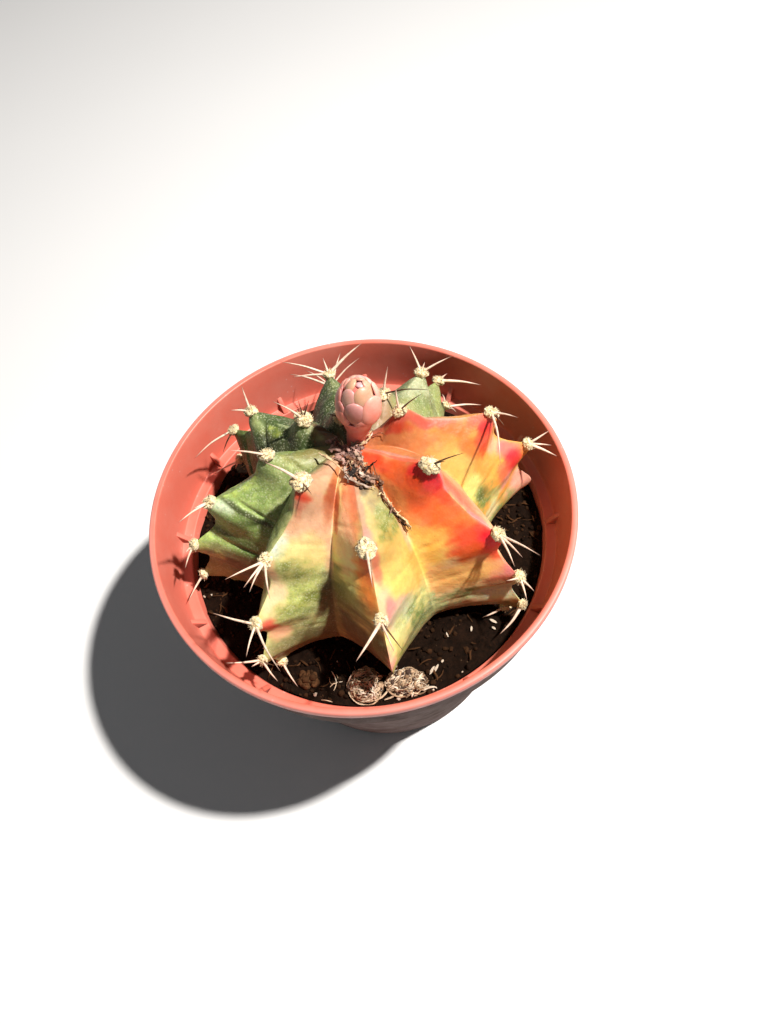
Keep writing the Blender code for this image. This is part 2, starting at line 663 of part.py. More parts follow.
def make_lump(name, place, size, group, seed):
    """An uneven rounded lump, a little flat below."""
    bm = bmesh.new()
    bmesh.ops.create_icosphere(bm, subdivisions=2, radius=1)
    for vert in bm.verts:
        wave = math.sin(3.1 * vert.co.x + seed) * math.cos(4.3 * vert.co.y - seed)
        wave += math.sin(5.2 * vert.co.z + seed)
        vert.co *= 1 + LUMP_ROUGHNESS * wave
        vert.co = place + Vector(a * b for a, b in zip(vert.co, size))
    return add_object(name, mesh_from(bm, name), group)


def make_remains(group):
    remains = make_lump("dried_flower_remains", REMAINS_PLACE, REMAINS_SIZE, group, 0.6)
    bm = bmesh.new()
    bmesh.ops.create_cone(
        bm, cap_ends=True, segments=10, radius1=0.5 * HOLLOW_RADIUS, radius2=HOLLOW_RADIUS, depth=HOLLOW_DEPTH,
    )
    bmesh.ops.translate(bm, verts=bm.verts, vec=REMAINS_PLACE + HOLLOW_SHIFT)
    hollow = add_object("hollow", mesh_from(bm, "hollow"), group)
    cut = remains.modifiers.new("Hollow", "BOOLEAN")
    cut.operation = "DIFFERENCE"
    cut.object = hollow
    apply_modifiers(remains)
    bpy.data.objects.remove(hollow, do_unlink=True)
    pieces = []
    for line, radius in [(TWIG, TWIG_RADIUS)] + [(shred, SHRED_RADIUS) for shred in SHREDS]:
        points = smooth_line([REMAINS_PLACE + Vector(point) * MM for point in line], 6)
        pieces.append(make_thorn("shred", points, radius, group, 5))
    fuse(remains, pieces, group)
    seat_on_body(remains, group)
    remains.location.z = SOIL_TOP
    remains.data.materials.append(finish("dry_husk", (0.42, 0.27, 0.16), 0.9))
    return remains


def make_roots(group):
    draws = random.Random(11)
    clumps = []
    strands = []
    for number, (place, size) in enumerate(ROOT_CLUMPS):
        name = "clump" if number else "root_tangle"
        clumps.append(make_lump(name, place, size * ROOT_CORE, group, 1.7 + number))
        for strand in range(ROOTS_PER_CLUMP):
            start = 2 * math.pi * strand / ROOTS_PER_CLUMP + draws.uniform(-0.2, 0.2)
            sweep = draws.uniform(*ROOT_SWEEPS)
            lean = draws.uniform(*ROOT_LEANS)
            points = []
            for step in range(ROOT_POINTS):
                run = step / (ROOT_POINTS - 1)
                angle = start + sweep * run
                level = math.sin(math.pi * (0.12 + 0.76 * run)) * lean
                drawn = 1 - ROOT_DRAW_IN * level
                flat = Vector((size.x * math.cos(angle), size.y * math.sin(angle), 0)) * drawn
                point = place + flat + Vector((0, 0, size.z * (0.9 * level - 0.1)))
                point.z = max(point.z, 2 * ROOT_RADIUS)
                points.append(point)
            strands.append(make_thorn("strand", smooth_line(points, 6), ROOT_RADIUS, group))
    link = smooth_line([Vector(point) * MM for point in ROOT_LINK], 8)
    strands.append(make_thorn("strand", link, 2 * ROOT_RADIUS, group, 6))
    for clump in clumps:
        for vert in clump.data.vertices:
            vert.co.z = max(vert.co.z, GAP)
    roots = clumps[0]
    fuse(roots, clumps[1:] + strands, group)
    seat_on_body(roots, group)
    roots.location.z = SOIL_TOP
    roots.data.materials.append(finish("dry_roots", (0.46, 0.34, 0.24), 0.9))
    return roots


def main():
    clear_scene()
    group = new_collection(OBJECT_NAME)
    cutters = new_collection(OBJECT_NAME + "_cutters")
    make_pot(group, cutters)
    make_soil(group)
    make_cactus(group)
    make_bud(group)
    make_remains(group)
    make_roots(group)
    for piece in group.objects:
        piece.data.shade_smooth()
        piece.data.set_sharp_from_angle(angle=math.radians(35))


main()
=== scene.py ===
import math
import random

import bpy
import numpy as np
from mathutils import Matrix, Vector, noise


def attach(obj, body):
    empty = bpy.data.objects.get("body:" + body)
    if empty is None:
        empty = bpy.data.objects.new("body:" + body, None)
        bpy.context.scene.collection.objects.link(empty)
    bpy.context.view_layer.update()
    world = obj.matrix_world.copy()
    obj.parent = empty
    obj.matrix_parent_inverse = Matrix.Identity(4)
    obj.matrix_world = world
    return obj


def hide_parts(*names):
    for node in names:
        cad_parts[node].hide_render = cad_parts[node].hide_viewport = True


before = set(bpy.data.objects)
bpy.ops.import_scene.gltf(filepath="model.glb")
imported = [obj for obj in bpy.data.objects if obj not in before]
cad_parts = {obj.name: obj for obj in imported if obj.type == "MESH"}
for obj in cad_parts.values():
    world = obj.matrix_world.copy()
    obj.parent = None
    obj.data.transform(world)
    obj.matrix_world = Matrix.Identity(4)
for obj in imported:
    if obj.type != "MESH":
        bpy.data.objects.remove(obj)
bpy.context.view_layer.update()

mm = 0.001
soilTop = 67.0  # the soil's surface over the pot's foot
crownHeight = 36.0  # the plant's crown over the soil


def deselectAll():
    if bpy.context.mode != "OBJECT":
        bpy.ops.object.mode_set(mode="OBJECT")
    bpy.ops.object.select_all(action="DESELECT")


def activate(piece):
    deselectAll()
    piece.select_set(True)
    bpy.context.view_layer.objects.active = piece
    return piece


def takePrimitive(name):
    piece = bpy.context.active_object
    piece.name = name
    piece.data.name = name
    return piece


def getCoords(piece):
    coords = np.empty(len(piece.data.vertices) * 3)
    piece.data.vertices.foreach_get("co", coords)
    return coords.reshape(-1, 3)


def setCoords(piece, coords):
    piece.data.vertices.foreach_set("co", np.ascontiguousarray(coords, dtype=np.float64).ravel())
    piece.data.update()


def joinAll(parts, name):
    deselectAll()
    for part in parts:
        part.select_set(True)
    bpy.context.view_layer.objects.active = parts[0]
    if len(parts) > 1:
        bpy.ops.object.join()
    return takePrimitive(name)


def tidyNormals(piece):
    activate(piece)
    bpy.ops.object.mode_set(mode="EDIT")
    bpy.ops.mesh.select_all(action="SELECT")
    bpy.ops.mesh.normals_make_consistent(inside=False)
    bpy.ops.object.mode_set(mode="OBJECT")


def smoothShade(piece, angle=180):
    activate(piece)
    if angle >= 180:
        bpy.ops.object.shade_smooth()
    else:
        bpy.ops.object.shade_smooth_by_angle(angle=math.radians(angle))


def applyModifier(piece, modifier):
    activate(piece)
    bpy.ops.object.modifier_apply(modifier=modifier.name)


def finishPiece(piece, material, slotName, *nodes):
    piece.data.materials.clear()
    piece.data.materials.append(material)
    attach(piece, "root")
    if nodes:
        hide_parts(*nodes)
    print("made", piece.name, len(piece.data.polygons), "faces")
    return piece


def unit(vectors):
    return vectors / np.linalg.norm(vectors, axis=-1, keepdims=True)


def smoothPath(points, count, stepsBetween=16):
    # evenly spaced points on a smooth curve through the given ones
    pts = np.array([points[0], *points, points[-1]], float)
    fine = []
    for a, b, c, d in zip(pts, pts[1:], pts[2:], pts[3:]):
        for t in np.linspace(0, 1, stepsBetween, endpoint=False):
            fine.append(
                0.5 * (2 * b + (c - a) * t + (2 * a - 5 * b + 4 * c - d) * t * t + (3 * b - a - 3 * c + d) * t ** 3)
            )
    fine.append(pts[-1])
    fine = np.array(fine)
    steps = np.linalg.norm(np.diff(fine, axis=0), axis=1)
    reached = np.concatenate([[0], np.cumsum(steps)])
    wanted = np.linspace(0, reached[-1], count)
    return np.stack([np.interp(wanted, reached, fine[:, k]) for k in range(fine.shape[1])], axis=1)


def noiseAt(points, scale, seed=0.0, octaves=1):
    # smooth noise between about -1 and 1, one value per point
    shift = Vector((17.3 * seed, 5.1 * seed, 9.7 * seed))
    if octaves == 1:
        return np.array([noise.noise(Vector(p) * scale + shift) for p in points])
    return np.array([noise.fractal(Vector(p) * scale + shift, 0.9, 2.1, octaves) for p in points])


def lumpy(coords, size, scale, draws, seeds=90, octaves=2):
    # an uneven copy of a lump's points, different at each draw
    return coords * (1 + size * noiseAt(coords, scale, draws.uniform(0, seeds), octaves))[:, None]


def drawThree(draws, low, high):
    return np.array([draws.uniform(low, high) for k in range(3)])


def toLinear(colour):
    # screen colour 0-255 to what the shader reads
    c = np.asarray(colour, float) / 255.0
    return np.where(c <= 0.04045, c / 12.92, ((c + 0.055) / 1.055) ** 2.4)


def takePattern():
    # the points and faces of the primitive just added, without its object
    piece = takePrimitive("pattern")
    pattern = {"coords": getCoords(piece), "faces": [tuple(face.vertices) for face in piece.data.polygons]}
    bpy.data.objects.remove(piece)
    return pattern


def ringsOf(coords, rings):
    # the ring of a ball that each point lies on, counted from the top
    return np.round(np.arccos(np.clip(coords[:, 2], -1, 1)) / np.pi * rings).astype(int)


def spokesOf(coords, nearPole=1e-4):
    # the sideways direction of each point of a ball
    flat = np.linalg.norm(coords[:, :2], axis=1)[:, None]
    return np.where(flat > nearPole, coords[:, :2] / np.maximum(flat, nearPole), 0)


def makeBall(segments, rings):
    deselectAll()
    bpy.ops.mesh.primitive_uv_sphere_add(segments=segments, ring_count=rings, radius=1)
    ball = takePattern()
    ball.update(rings=rings, ring=ringsOf(ball["coords"], rings), spokes=spokesOf(ball["coords"]))
    return ball


def makeLump(subdivisions):
    deselectAll()
    bpy.ops.mesh.primitive_ico_sphere_add(subdivisions=subdivisions, radius=1)
    return takePattern()


def alongPath(ball, path, radii, flat=1.0):
    # lays a ball along a path: its top pole at the root, its bottom pole at the tip
    rings, ring, spokes = ball["rings"], ball["ring"], ball["spokes"]
    line = smoothPath(path, rings + 1)
    ahead = np.gradient(line, axis=0)
    ahead /= np.linalg.norm(ahead, axis=1)[:, None] + 1e-9
    side = np.zeros_like(line)
    start = np.cross(ahead[0], (0.31, 0.17, 0.93))  # any direction off the path will do
    side[0] = start / (np.linalg.norm(start) + 1e-9)
    for k in range(1, rings + 1):
        turned = side[k - 1] - ahead[k] * np.dot(side[k - 1], ahead[k])
        side[k] = turned / (np.linalg.norm(turned) + 1e-9)
    up = np.cross(side, ahead)
    thick = np.interp(np.linspace(0, 1, rings + 1), np.linspace(0, 1, len(radii)), radii)
    x = spokes[:, 0] * thick[ring]
    y = spokes[:, 1] * thick[ring] * flat
    return line[ring] + side[ring] * x[:, None] + up[ring] * y[:, None]


def stackCopies(name, pattern, shapes):
    # one mesh of many copies of a pattern, each shape holding the pattern's points (mm) in their places
    count = len(shapes[0])
    faces = [tuple(v + count * k for v in face) for k in range(len(shapes)) for face in pattern["faces"]]
    mesh = bpy.data.meshes.new(name)
    mesh.from_pydata((np.concatenate(shapes) * mm).tolist(), [], faces)
    piece = bpy.data.objects.new(name, mesh)
    bpy.context.scene.collection.objects.link(piece)
    return piece


def stackPainted(name, pattern, shapes, tints):
    # as stackCopies, with one colour (0-255) for each copy
    piece = stackCopies(name, pattern, shapes)
    addColours(piece, "paint", np.concatenate([np.tile(toLinear(t), (len(s), 1)) for s, t in zip(shapes, tints)]))
    return piece


def stackToned(name, pattern, shapes, tones):
    # as stackCopies, with one value from 0 to 1 for each copy, or for each of its points
    piece = stackCopies(name, pattern, shapes)
    addFloats(piece, "tone", np.concatenate([np.broadcast_to(t, len(s)) for s, t in zip(shapes, tones)]))
    return piece


def addFloats(piece, name, values):
    attribute = piece.data.attributes.new(name, "FLOAT", "POINT")
    attribute.data.foreach_set("value", np.asarray(values, dtype=np.float32))


def addColours(piece, name, colours):
    attribute = piece.data.color_attributes.new(name, "FLOAT_COLOR", "POINT")
    rgba = np.ones((len(colours), 4), dtype=np.float32)
    rgba[:, :3] = colours
    attribute.data.foreach_set("color", rgba.ravel())


class materialNodes:
    # a material, with short ways to add its nodes
    def __init__(self, name, roughness=0.5):
        self.material = bpy.data.materials.new(name)
        self.material.use_nodes = True
        self.nodes = self.material.node_tree.nodes
        self.links = self.material.node_tree.links
        self.shader = self.nodes["Principled BSDF"]
        self.where = self.nodes.new("ShaderNodeTexCoord").outputs["Object"]
        self.set("Roughness", roughness)

    def set(self, name, value):
        # a plain value on the shader's own socket
        self.shader.inputs[name].default_value = value

    def link(self, value, socket):
        if isinstance(value, bpy.types.NodeSocket):
            self.links.new(value, socket)
        elif isinstance(value, (tuple, list, np.ndarray)):
            socket.default_value = (*value[:3], 1) if len(socket.default_value) == 4 else tuple(value[:3])
        else:
            socket.default_value = value

    def noise(self, scale, detail=3.0, rough=0.55, stretch=None, distortion=0.0):
        place = self.where
        if stretch:
            mapping = self.nodes.new("ShaderNodeMapping")
            mapping.inputs["Scale"].default_value = stretch
            self.links.new(place, mapping.inputs["Vector"])
            place = mapping.outputs["Vector"]
        node = self.nodes.new("ShaderNodeTexNoise")
        self.links.new(place, node.inputs["Vector"])
        node.inputs["Scale"].default_value = scale
        node.inputs["Detail"].default_value = detail
        node.inputs["Roughness"].default_value = rough
        node.inputs["Distortion"].default_value = distortion
        return node.outputs["Fac"]

    def cells(self, scale):
        node = self.nodes.new("ShaderNodeTexVoronoi")
        self.links.new(self.where, node.inputs["Vector"])
        node.inputs["Scale"].default_value = scale
        return node.outputs["Distance"]

    def ramp(self, value, low, high, lowTo=0.0, highTo=1.0):
        node = self.nodes.new("ShaderNodeMapRange")
        self.link(value, node.inputs["Value"])
        limits = {"From Min": low, "From Max": high, "To Min": lowTo, "To Max": highTo}
        for name, limit in limits.items():
            node.inputs[name].default_value = limit
        return node.outputs["Result"]

    def maths(self, operation, a, b):
        node = self.nodes.new("ShaderNodeMath")
        node.operation = operation
        self.link(a, node.inputs[0])
        self.link(b, node.inputs[1])
        return node.outputs[0]

    def times(self, a, b):
        return self.maths("MULTIPLY", a, b)

    def mix(self, share, first, second, blend="MIX"):
        node = self.nodes.new("ShaderNodeMix")
        node.data_type = "RGBA"
        node.blend_type = blend
        self.link(share, node.inputs["Factor"])
        self.link(first, node.inputs[6])
        self.link(second, node.inputs[7])
        return node.outputs[2]

    def tint(self, share, first, colour):
        # towards one of the dictionary's screen colours
        return self.mix(share, first, toLinear(colour))

    def twoTones(self, share, colours):
        return self.mix(share, toLinear(colours[0]), toLinear(colours[1]))

    def attribute(self, name, output="Fac"):
        node = self.nodes.new("ShaderNodeAttribute")
        node.attribute_name = name
        return node.outputs[output]

    def bump(self, value, distance, strength=1.0, below=None):
        node = self.nodes.new("ShaderNodeBump")
        node.inputs["Strength"].default_value = strength
        node.inputs["Distance"].default_value = distance
        self.link(value, node.inputs["Height"])
        if below is not None:
            self.links.new(below, node.inputs["Normal"])
        return node.outputs["Normal"]

    def colour(self, value):
        self.link(value, self.shader.inputs["Base Color"])

    def roughness(self, value):
        self.link(value, self.shader.inputs["Roughness"])

    def normal(self, value):
        self.links.new(value, self.shader.inputs["Normal"])


# the photograph's camera
camera = {
    "place": Vector((0, -0.0945845, 0.2407005)),
    "view": Vector((0.02801511, 0.49880835, -0.86625942)),
    "up": Vector((0.21825983, 0.84263743, 0.49226497)),
    "lens": 27.04, "sensor": 36, "nearest": 0.01,
    "imageWidth": 768, "imageHeight": 1024,
}
focalPixels = camera["lens"] / camera["sensor"] * camera["imageHeight"]
cameraRight = camera["view"].cross(camera["up"]).normalized()
cameraUp = cameraRight.cross(camera["view"]).normalized()

deselectAll()
bpy.ops.object.camera_add(location=camera["place"])
photoCamera = bpy.context.active_object
photoCamera.data.lens = camera["lens"]
photoCamera.data.sensor_width = camera["sensor"]
photoCamera.data.clip_start = camera["nearest"]
photoCamera.rotation_euler = Matrix((cameraRight, cameraUp, -camera["view"])).transposed().to_euler()
bpy.context.scene.camera = photoCamera


def pixelRay(pixel):
    # the direction in which the camera sees a pixel of the photograph
    across = (pixel[0] - camera["imageWidth"] / 2) / focalPixels
    down = (pixel[1] - camera["imageHeight"] / 2) / focalPixels
    return (camera["view"] + cameraRight * across - cameraUp * down).normalized()


def onPiece(piece, pixel, lift=0.0):
    # the point in mm on a pixel's line of sight that lies over a piece by the lift
    ray = pixelRay(pixel)
    found = False
    for one in piece if isinstance(piece, tuple) else (piece,):
        hit, spot, facing, face = one.ray_cast(camera["place"], ray)
        if hit and (not found or (spot - camera["place"]).length < (place - camera["place"]).length):
            found, place, normal = True, spot, facing
    if not found:
        place = camera["place"] + ray * ((soilTop * mm - camera["place"].z) / ray.z)
        normal = Vector((0, 0, 1))
    steepest = 0.35  # keeps a point near the outline from sliding far along its line of sight
    place = place - ray * (lift * mm / max(steepest, -normal.dot(ray)))
    return np.array(place) / mm


# lamps: the sun's side and the soft other side, as angles in degrees, sizes and distances in metres
lamps = {
    "keyLight": {"azimuth": -11, "elevation": 62, "distance": 0.7, "size": 0.03, "energy": 10.0,
                 "tint": (1.0, 0.965, 0.92)},
    "fillLight": {"azimuth": 160, "elevation": 55, "distance": 0.8, "size": 0.6, "energy": 0.1,
                  "tint": (0.95, 0.97, 1.0)},
}
lampTarget = Vector((0, 0, 0.085))
sky = {"tint": (0.95, 0.97, 1.0, 1), "strength": 0.095}
floor = {"size": 4, "drop": 0.0004, "cloudScale": 6, "shades": ((0.86, 0.86, 0.86), (0.9, 0.9, 0.9)), "roughness": 0.8}

for name, lamp in lamps.items():
    turn, lift = math.radians(lamp["azimuth"]), math.radians(lamp["elevation"])
    heading = Vector((math.cos(lift) * math.cos(turn), math.cos(lift) * math.sin(turn), math.sin(lift)))
    deselectAll()
    bpy.ops.object.light_add(type="AREA", location=lampTarget + heading * lamp["distance"])
    lampObject = takePrimitive(name)
    lampObject.rotation_euler = heading.to_track_quat("Z", "Y").to_euler()
    lampObject.data.shape = "DISK"
    lampObject.data.size = lamp["size"]
    lampObject.data.energy = lamp["energy"]
    lampObject.data.color = lamp["tint"]

paleSky = bpy.data.worlds.new("paleSky")
paleSky.use_nodes = True
paleSky.node_tree.nodes["Background"].inputs["Color"].default_value = sky["tint"]
paleSky.node_tree.nodes["Background"].inputs["Strength"].default_value = sky["strength"]
bpy.context.scene.world = paleSky
bpy.context.scene.view_settings.view_transform = "Standard"
print("camera and light ready")

deselectAll()
bpy.ops.mesh.primitive_plane_add(size=floor["size"], location=(0, 0, -floor["drop"]))
floorPlane = takePrimitive("floor")
floorFinish = materialNodes("paleFloor", floor["roughness"])
floorFinish.colour(floorFinish.mix(floorFinish.noise(floor["cloudScale"], 2), *floor["shades"]))
floorPlane.data.materials.append(floorFinish.material)


pot = {
    "rimRadius": 51, "height": 84, "wall": 1.0, "steps": 192, "hub": 0.4, "hubRing": 12,
    "lipWidth": 1.6, "lipHeight": 2.2, "lipRound": 0.55, "lipInnerRound": 0.45, "lipUnderRound": 0.35,
    "collarDepth": 15.3, "collarTaper": 1.8, "collarRound": 0.55, "ledgeWidth": 2.7, "ledgeRound": 0.35,
    "footRadius": 34.5, "footRing": 4.5, "footRound": 0.9, "footLift": 1.6, "floorThickness": 1.4,
    "lugs": 12, "lugStart": 19, "lugThickness": 1.3, "lugHeight": 4.2, "lugTip": 0.2, "lugSink": 0.5,
    "lugBevel": 0.22, "drains": 6, "drainRadius": 3, "drainCircle": 22,
    # painted shade on the lip: the azimuth it is strongest towards, and an offset that widens it round the pot
    "lipShadeTowards": -50, "lipShadeLeast": 0.35, "flatAngle": 38,
}
ledgeTop = pot["height"] - pot["collarDepth"]
collarTop = pot["rimRadius"] - pot["lipWidth"]
collarFoot = collarTop - pot["collarTaper"]
ledgeInside = collarFoot - pot["ledgeWidth"]
floorTop = pot["footLift"] + pot["floorThickness"]
floorInside = pot["footRadius"] - pot["wall"] + 0.2


def wallRadius(height):
    # the inner wall under the ledge
    return floorInside + (ledgeInside - floorInside) * (height - floorTop) / (ledgeTop - floorTop)


def collarRadius(height):
    # the inner wall over the ledge
    return collarFoot + pot["collarTaper"] * (height - ledgeTop) / pot["collarDepth"]


def insideRadius(height):
    return collarRadius(height) if height > ledgeTop else wallRadius(height)


def arc(middle, radius, start, end, count):
    # a rounded corner as (radius, height) pairs
    return [
        (middle[0] + radius * math.cos(math.radians(a)), middle[1] + radius * math.sin(math.radians(a)))
        for a in np.linspace(start, end, count)
    ]


def potOutline():
    # from the middle of the foot up the outside, over the lip and down the inside, as (radius, height) pairs
    top, rim, wall, foot = pot["height"], pot["rimRadius"], pot["wall"], pot["footRadius"]
    lift, ringInside = pot["footLift"], foot - pot["footRing"]
    lipFoot = top - pot["lipHeight"]
    wallTop = (ledgeInside + wall, ledgeTop - wall - 0.3)
    outline = [(pot["hub"], lift), (pot["hubRing"], lift), (ringInside - 0.8, lift), (ringInside, 0), (foot - 0.8, 0)]
    outline += arc((foot - pot["footRound"], pot["footRound"]), pot["footRound"], -80, -10, 4)
    outline += [(foot + (wallTop[0] - foot) * z / wallTop[1], z) for z in (4, 25, 45)] + [wallTop]
    corner = pot["collarRound"]
    outline += arc((collarFoot + wall - corner, ledgeTop - 0.45), corner, -80, -5, 4)
    outline += [(collarFoot + wall + 0.5, ledgeTop + 5), (collarTop + wall - 0.3, lipFoot)]
    corner = pot["lipUnderRound"]
    outline += arc((rim - corner, lipFoot + corner), corner, -90, 0, 4)
    corner = pot["lipRound"]
    outline += arc((rim - corner, top - corner), corner, 8, 82, 6)
    corner = pot["lipInnerRound"]
    outline += arc((collarTop + corner, top - corner), corner, 98, 172, 5)
    outline += [(collarTop - 0.6, ledgeTop + 10), (collarFoot + 0.25, ledgeTop + 2)]
    corner = pot["ledgeRound"]
    outline += arc((collarFoot - corner, ledgeTop + 0.45), corner, -10, -80, 3)
    outline += [(ledgeInside + 0.6, ledgeTop)]
    outline += arc((ledgeInside + corner, ledgeTop - corner), corner, 100, 170, 3)
    outline += [(wallRadius(z), z) for z in (45, 25, floorTop + 6, floorTop + 0.8)]
    return outline + [(floorInside - 1.0, floorTop), (pot["hubRing"], floorTop), (pot["hub"], floorTop)]


def turnedBody(name, outline, steps):
    # rings extruded one after another along an outline that starts and ends at the axis
    deselectAll()
    first = outline[0]
    bpy.ops.mesh.primitive_circle_add(vertices=steps, radius=first[0] * mm, location=(0, 0, first[1] * mm))
    piece = takePrimitive(name)
    bpy.ops.object.transform_apply(location=True)
    bpy.ops.object.mode_set(mode="EDIT")
    bpy.ops.mesh.select_all(action="SELECT")
    for here, ahead in zip(outline, outline[1:]):
        bpy.ops.mesh.extrude_region_move(TRANSFORM_OT_translate={"value": (0, 0, (ahead[1] - here[1]) * mm)})
        share = ahead[0] / here[0]
        bpy.ops.transform.resize(value=(share, share, 1), center_override=(0, 0, ahead[1] * mm))
    bpy.ops.mesh.merge(type="CENTER")
    bpy.ops.object.mode_set(mode="OBJECT")
    # the first ring closes to a point too
    mesh = piece.data
    nearAxis = {
        v.index for v in mesh.vertices
        if math.hypot(v.co.x, v.co.y) < (first[0] + 0.05) * mm and abs(v.co.z - first[1] * mm) < 0.01 * mm
    }
    for v in mesh.vertices:
        v.select = v.index in nearAxis
    for e in mesh.edges:
        e.select = e.vertices[0] in nearAxis and e.vertices[1] in nearAxis
    for p in mesh.polygons:
        p.select = False
    bpy.ops.object.mode_set(mode="EDIT")
    bpy.ops.mesh.merge(type="CENTER")
    bpy.ops.object.mode_set(mode="OBJECT")
    tidyNormals(piece)
    return piece


def cutDrains(shell):
    drills = []
    for index in range(pot["drains"]):
        angle = 2 * math.pi * index / pot["drains"]
        away = pot["drainCircle"] * mm
        deselectAll()
        bpy.ops.mesh.primitive_cylinder_add(
            vertices=32, radius=pot["drainRadius"] * mm, depth=6 * mm,
            location=(away * math.cos(angle), away * math.sin(angle), floorTop * mm),
        )
        drills.append(takePrimitive("drill"))
    drill = joinAll(drills, "drill")
    holes = shell.modifiers.new("holes", "BOOLEAN")
    holes.operation = "DIFFERENCE"
    holes.solver = "EXACT"
    holes.object = drill
    applyModifier(shell, holes)
    bpy.data.objects.remove(drill)


def makeLug(angle):
    # a stacking lug: a block on the ledge that slopes down from the collar
    deselectAll()
    bpy.ops.mesh.primitive_cube_add(size=1)
    lug = takePrimitive("lug")
    coords = getCoords(lug)
    onWall = coords[:, 0] > 0
    high = np.where(onWall, ledgeTop + pot["lugHeight"], ledgeTop + pot["lugTip"])
    coords[:, 2] = np.where(coords[:, 2] > 0, high, ledgeTop - pot["lugSink"])
    coords[:, 0] = np.where(onWall, collarFoot + 0.6, ledgeInside + 0.25)
    coords[:, 1] *= pot["lugThickness"]
    setCoords(lug, coords * mm)
    edge = lug.modifiers.new("edge", "BEVEL")
    edge.width = pot["lugBevel"] * mm
    edge.segments = 2
    applyModifier(lug, edge)
    lug.data.transform(Matrix.Rotation(math.radians(angle), 4, "Z"))
    return lug


def makePot():
    shell = turnedBody("potShell", potOutline(), pot["steps"])
    cutDrains(shell)
    lugs = [makeLug(pot["lugStart"] + 360 * index / pot["lugs"]) for index in range(pot["lugs"])]
    shell = joinAll([shell] + lugs, "potShell")
    # where the plastic lies outside, where the lip's outer face gets painted shade (most towards the front) and where
    # its crest gets a pale painted highlight
    top, rim = pot["height"], pot["rimRadius"]
    x, y, z = (getCoords(shell) / mm).T
    away = np.hypot(x, y)
    middleWall = np.where(z > ledgeTop - 0.2, collarRadius(z), wallRadius(z)) + 0.5 * pot["wall"]
    addFloats(shell, "outside", (away > middleWall) & (z < top - pot["lipHeight"] + 0.05))
    # painted shade on the lip's outer face, strongest towards the front of the pot
    facing = np.cos(np.arctan2(y, x) - math.radians(pot["lipShadeTowards"]))
    lipPaintedShade = np.clip(pot["lipShadeLeast"] + facing, 0, 1)
    addFloats(shell, "lipPaintedShade", lipPaintedShade * (away > rim - 0.6) * (z < top - pot["lipRound"] + 0.02))
    # a pale painted highlight along the lip's crest
    addFloats(shell, "edge", (away > rim - 0.9) * (z > top - 0.4))
    smoothShade(shell, pot["flatAngle"])
    return shell


# the plastic: shades that drift over it, painted shade on the lip's front and a pale painted highlight on its crest,
# dust film, a grey-brown outer wall that is dust grime and a painted grey sheen of reflected light, and pale specks
plasticLook = {
    # the colour of the painted shade on the lip's front, and of the painted highlight on its crest
    "shades": ((212, 104, 84), (220, 118, 100)), "lipPaintedShade": (150, 70, 66), "lipShadeShare": 0.85,
    "edge": (216, 140, 130), "crestHighlightShare": 0.55, "film": (220, 158, 142), "filmShare": 0.3,
    "grimeAndSheen": ((74, 58, 54), (112, 97, 93)), "specks": (236, 222, 214), "speckShare": 0.22,
    "shadeScale": 9, "filmScale": 70, "grimeAndSheenScale": 28, "grimeAndSheenGrain": 160, "speckScale": 520, "speckPatch": 140,
}


def makePlastic():
    look = plasticLook
    plastic = materialNodes("terracottaPlastic", 0.42)
    shade = plastic.twoTones(plastic.ramp(plastic.noise(look["shadeScale"], 4), 0.35, 0.65), look["shades"])
    # painted shade on the lip's front, then a pale painted highlight on its crest
    shade = plastic.tint(plastic.times(plastic.attribute("lipPaintedShade"), look["lipShadeShare"]), shade, look["lipPaintedShade"])
    shade = plastic.tint(plastic.times(plastic.attribute("edge"), look["crestHighlightShare"]), shade, look["edge"])
    veil = plastic.ramp(plastic.noise(look["filmScale"], 5, 0.7), 0.42, 0.75)
    film = plastic.tint(plastic.times(veil, look["filmShare"]), shade, look["film"])
    # the outer wall's grey-brown: partly dust grime, partly a painted grey sheen standing in for the light the wall
    # reflects at a grazing angle
    patches = plastic.ramp(plastic.noise(look["grimeAndSheenScale"], 5, 0.65), 0.25, 0.6, 0.94, 1.0)
    grimeAndSheenMask = plastic.times(plastic.attribute("outside"), patches)
    grimeAndSheen = plastic.twoTones(plastic.ramp(plastic.noise(look["grimeAndSheenGrain"], 4, 0.7), 0.3, 0.7), look["grimeAndSheen"])
    coated = plastic.mix(grimeAndSheenMask, film, grimeAndSheen)
    specks = plastic.ramp(plastic.cells(look["speckScale"]), 0.15, 0.08)
    rare = plastic.ramp(plastic.noise(look["speckPatch"], 2), 0.52, 0.6)
    speckled = plastic.times(plastic.times(specks, rare), look["speckShare"])
    plastic.colour(plastic.tint(speckled, coated, look["specks"]))
    rough = plastic.ramp(plastic.noise(60, 4), 0.3, 0.7, 0.34, 0.52)
    matt = plastic.times(grimeAndSheenMask, 0.45)
    plastic.roughness(plastic.maths("ADD", rough, matt))
    plastic.link(plastic.maths("SUBTRACT", 0.5, matt), plastic.shader.inputs["Specular IOR Level"])
    fine = plastic.bump(plastic.noise(900, 3, 0.6), 0.00005, 0.5)
    plastic.normal(plastic.bump(plastic.noise(55, 3), 0.0004, 0.35, fine))
    return plastic.material


potShell = makePot()
finishPiece(potShell, makePlastic(), "terracotta_plastic", "pot")


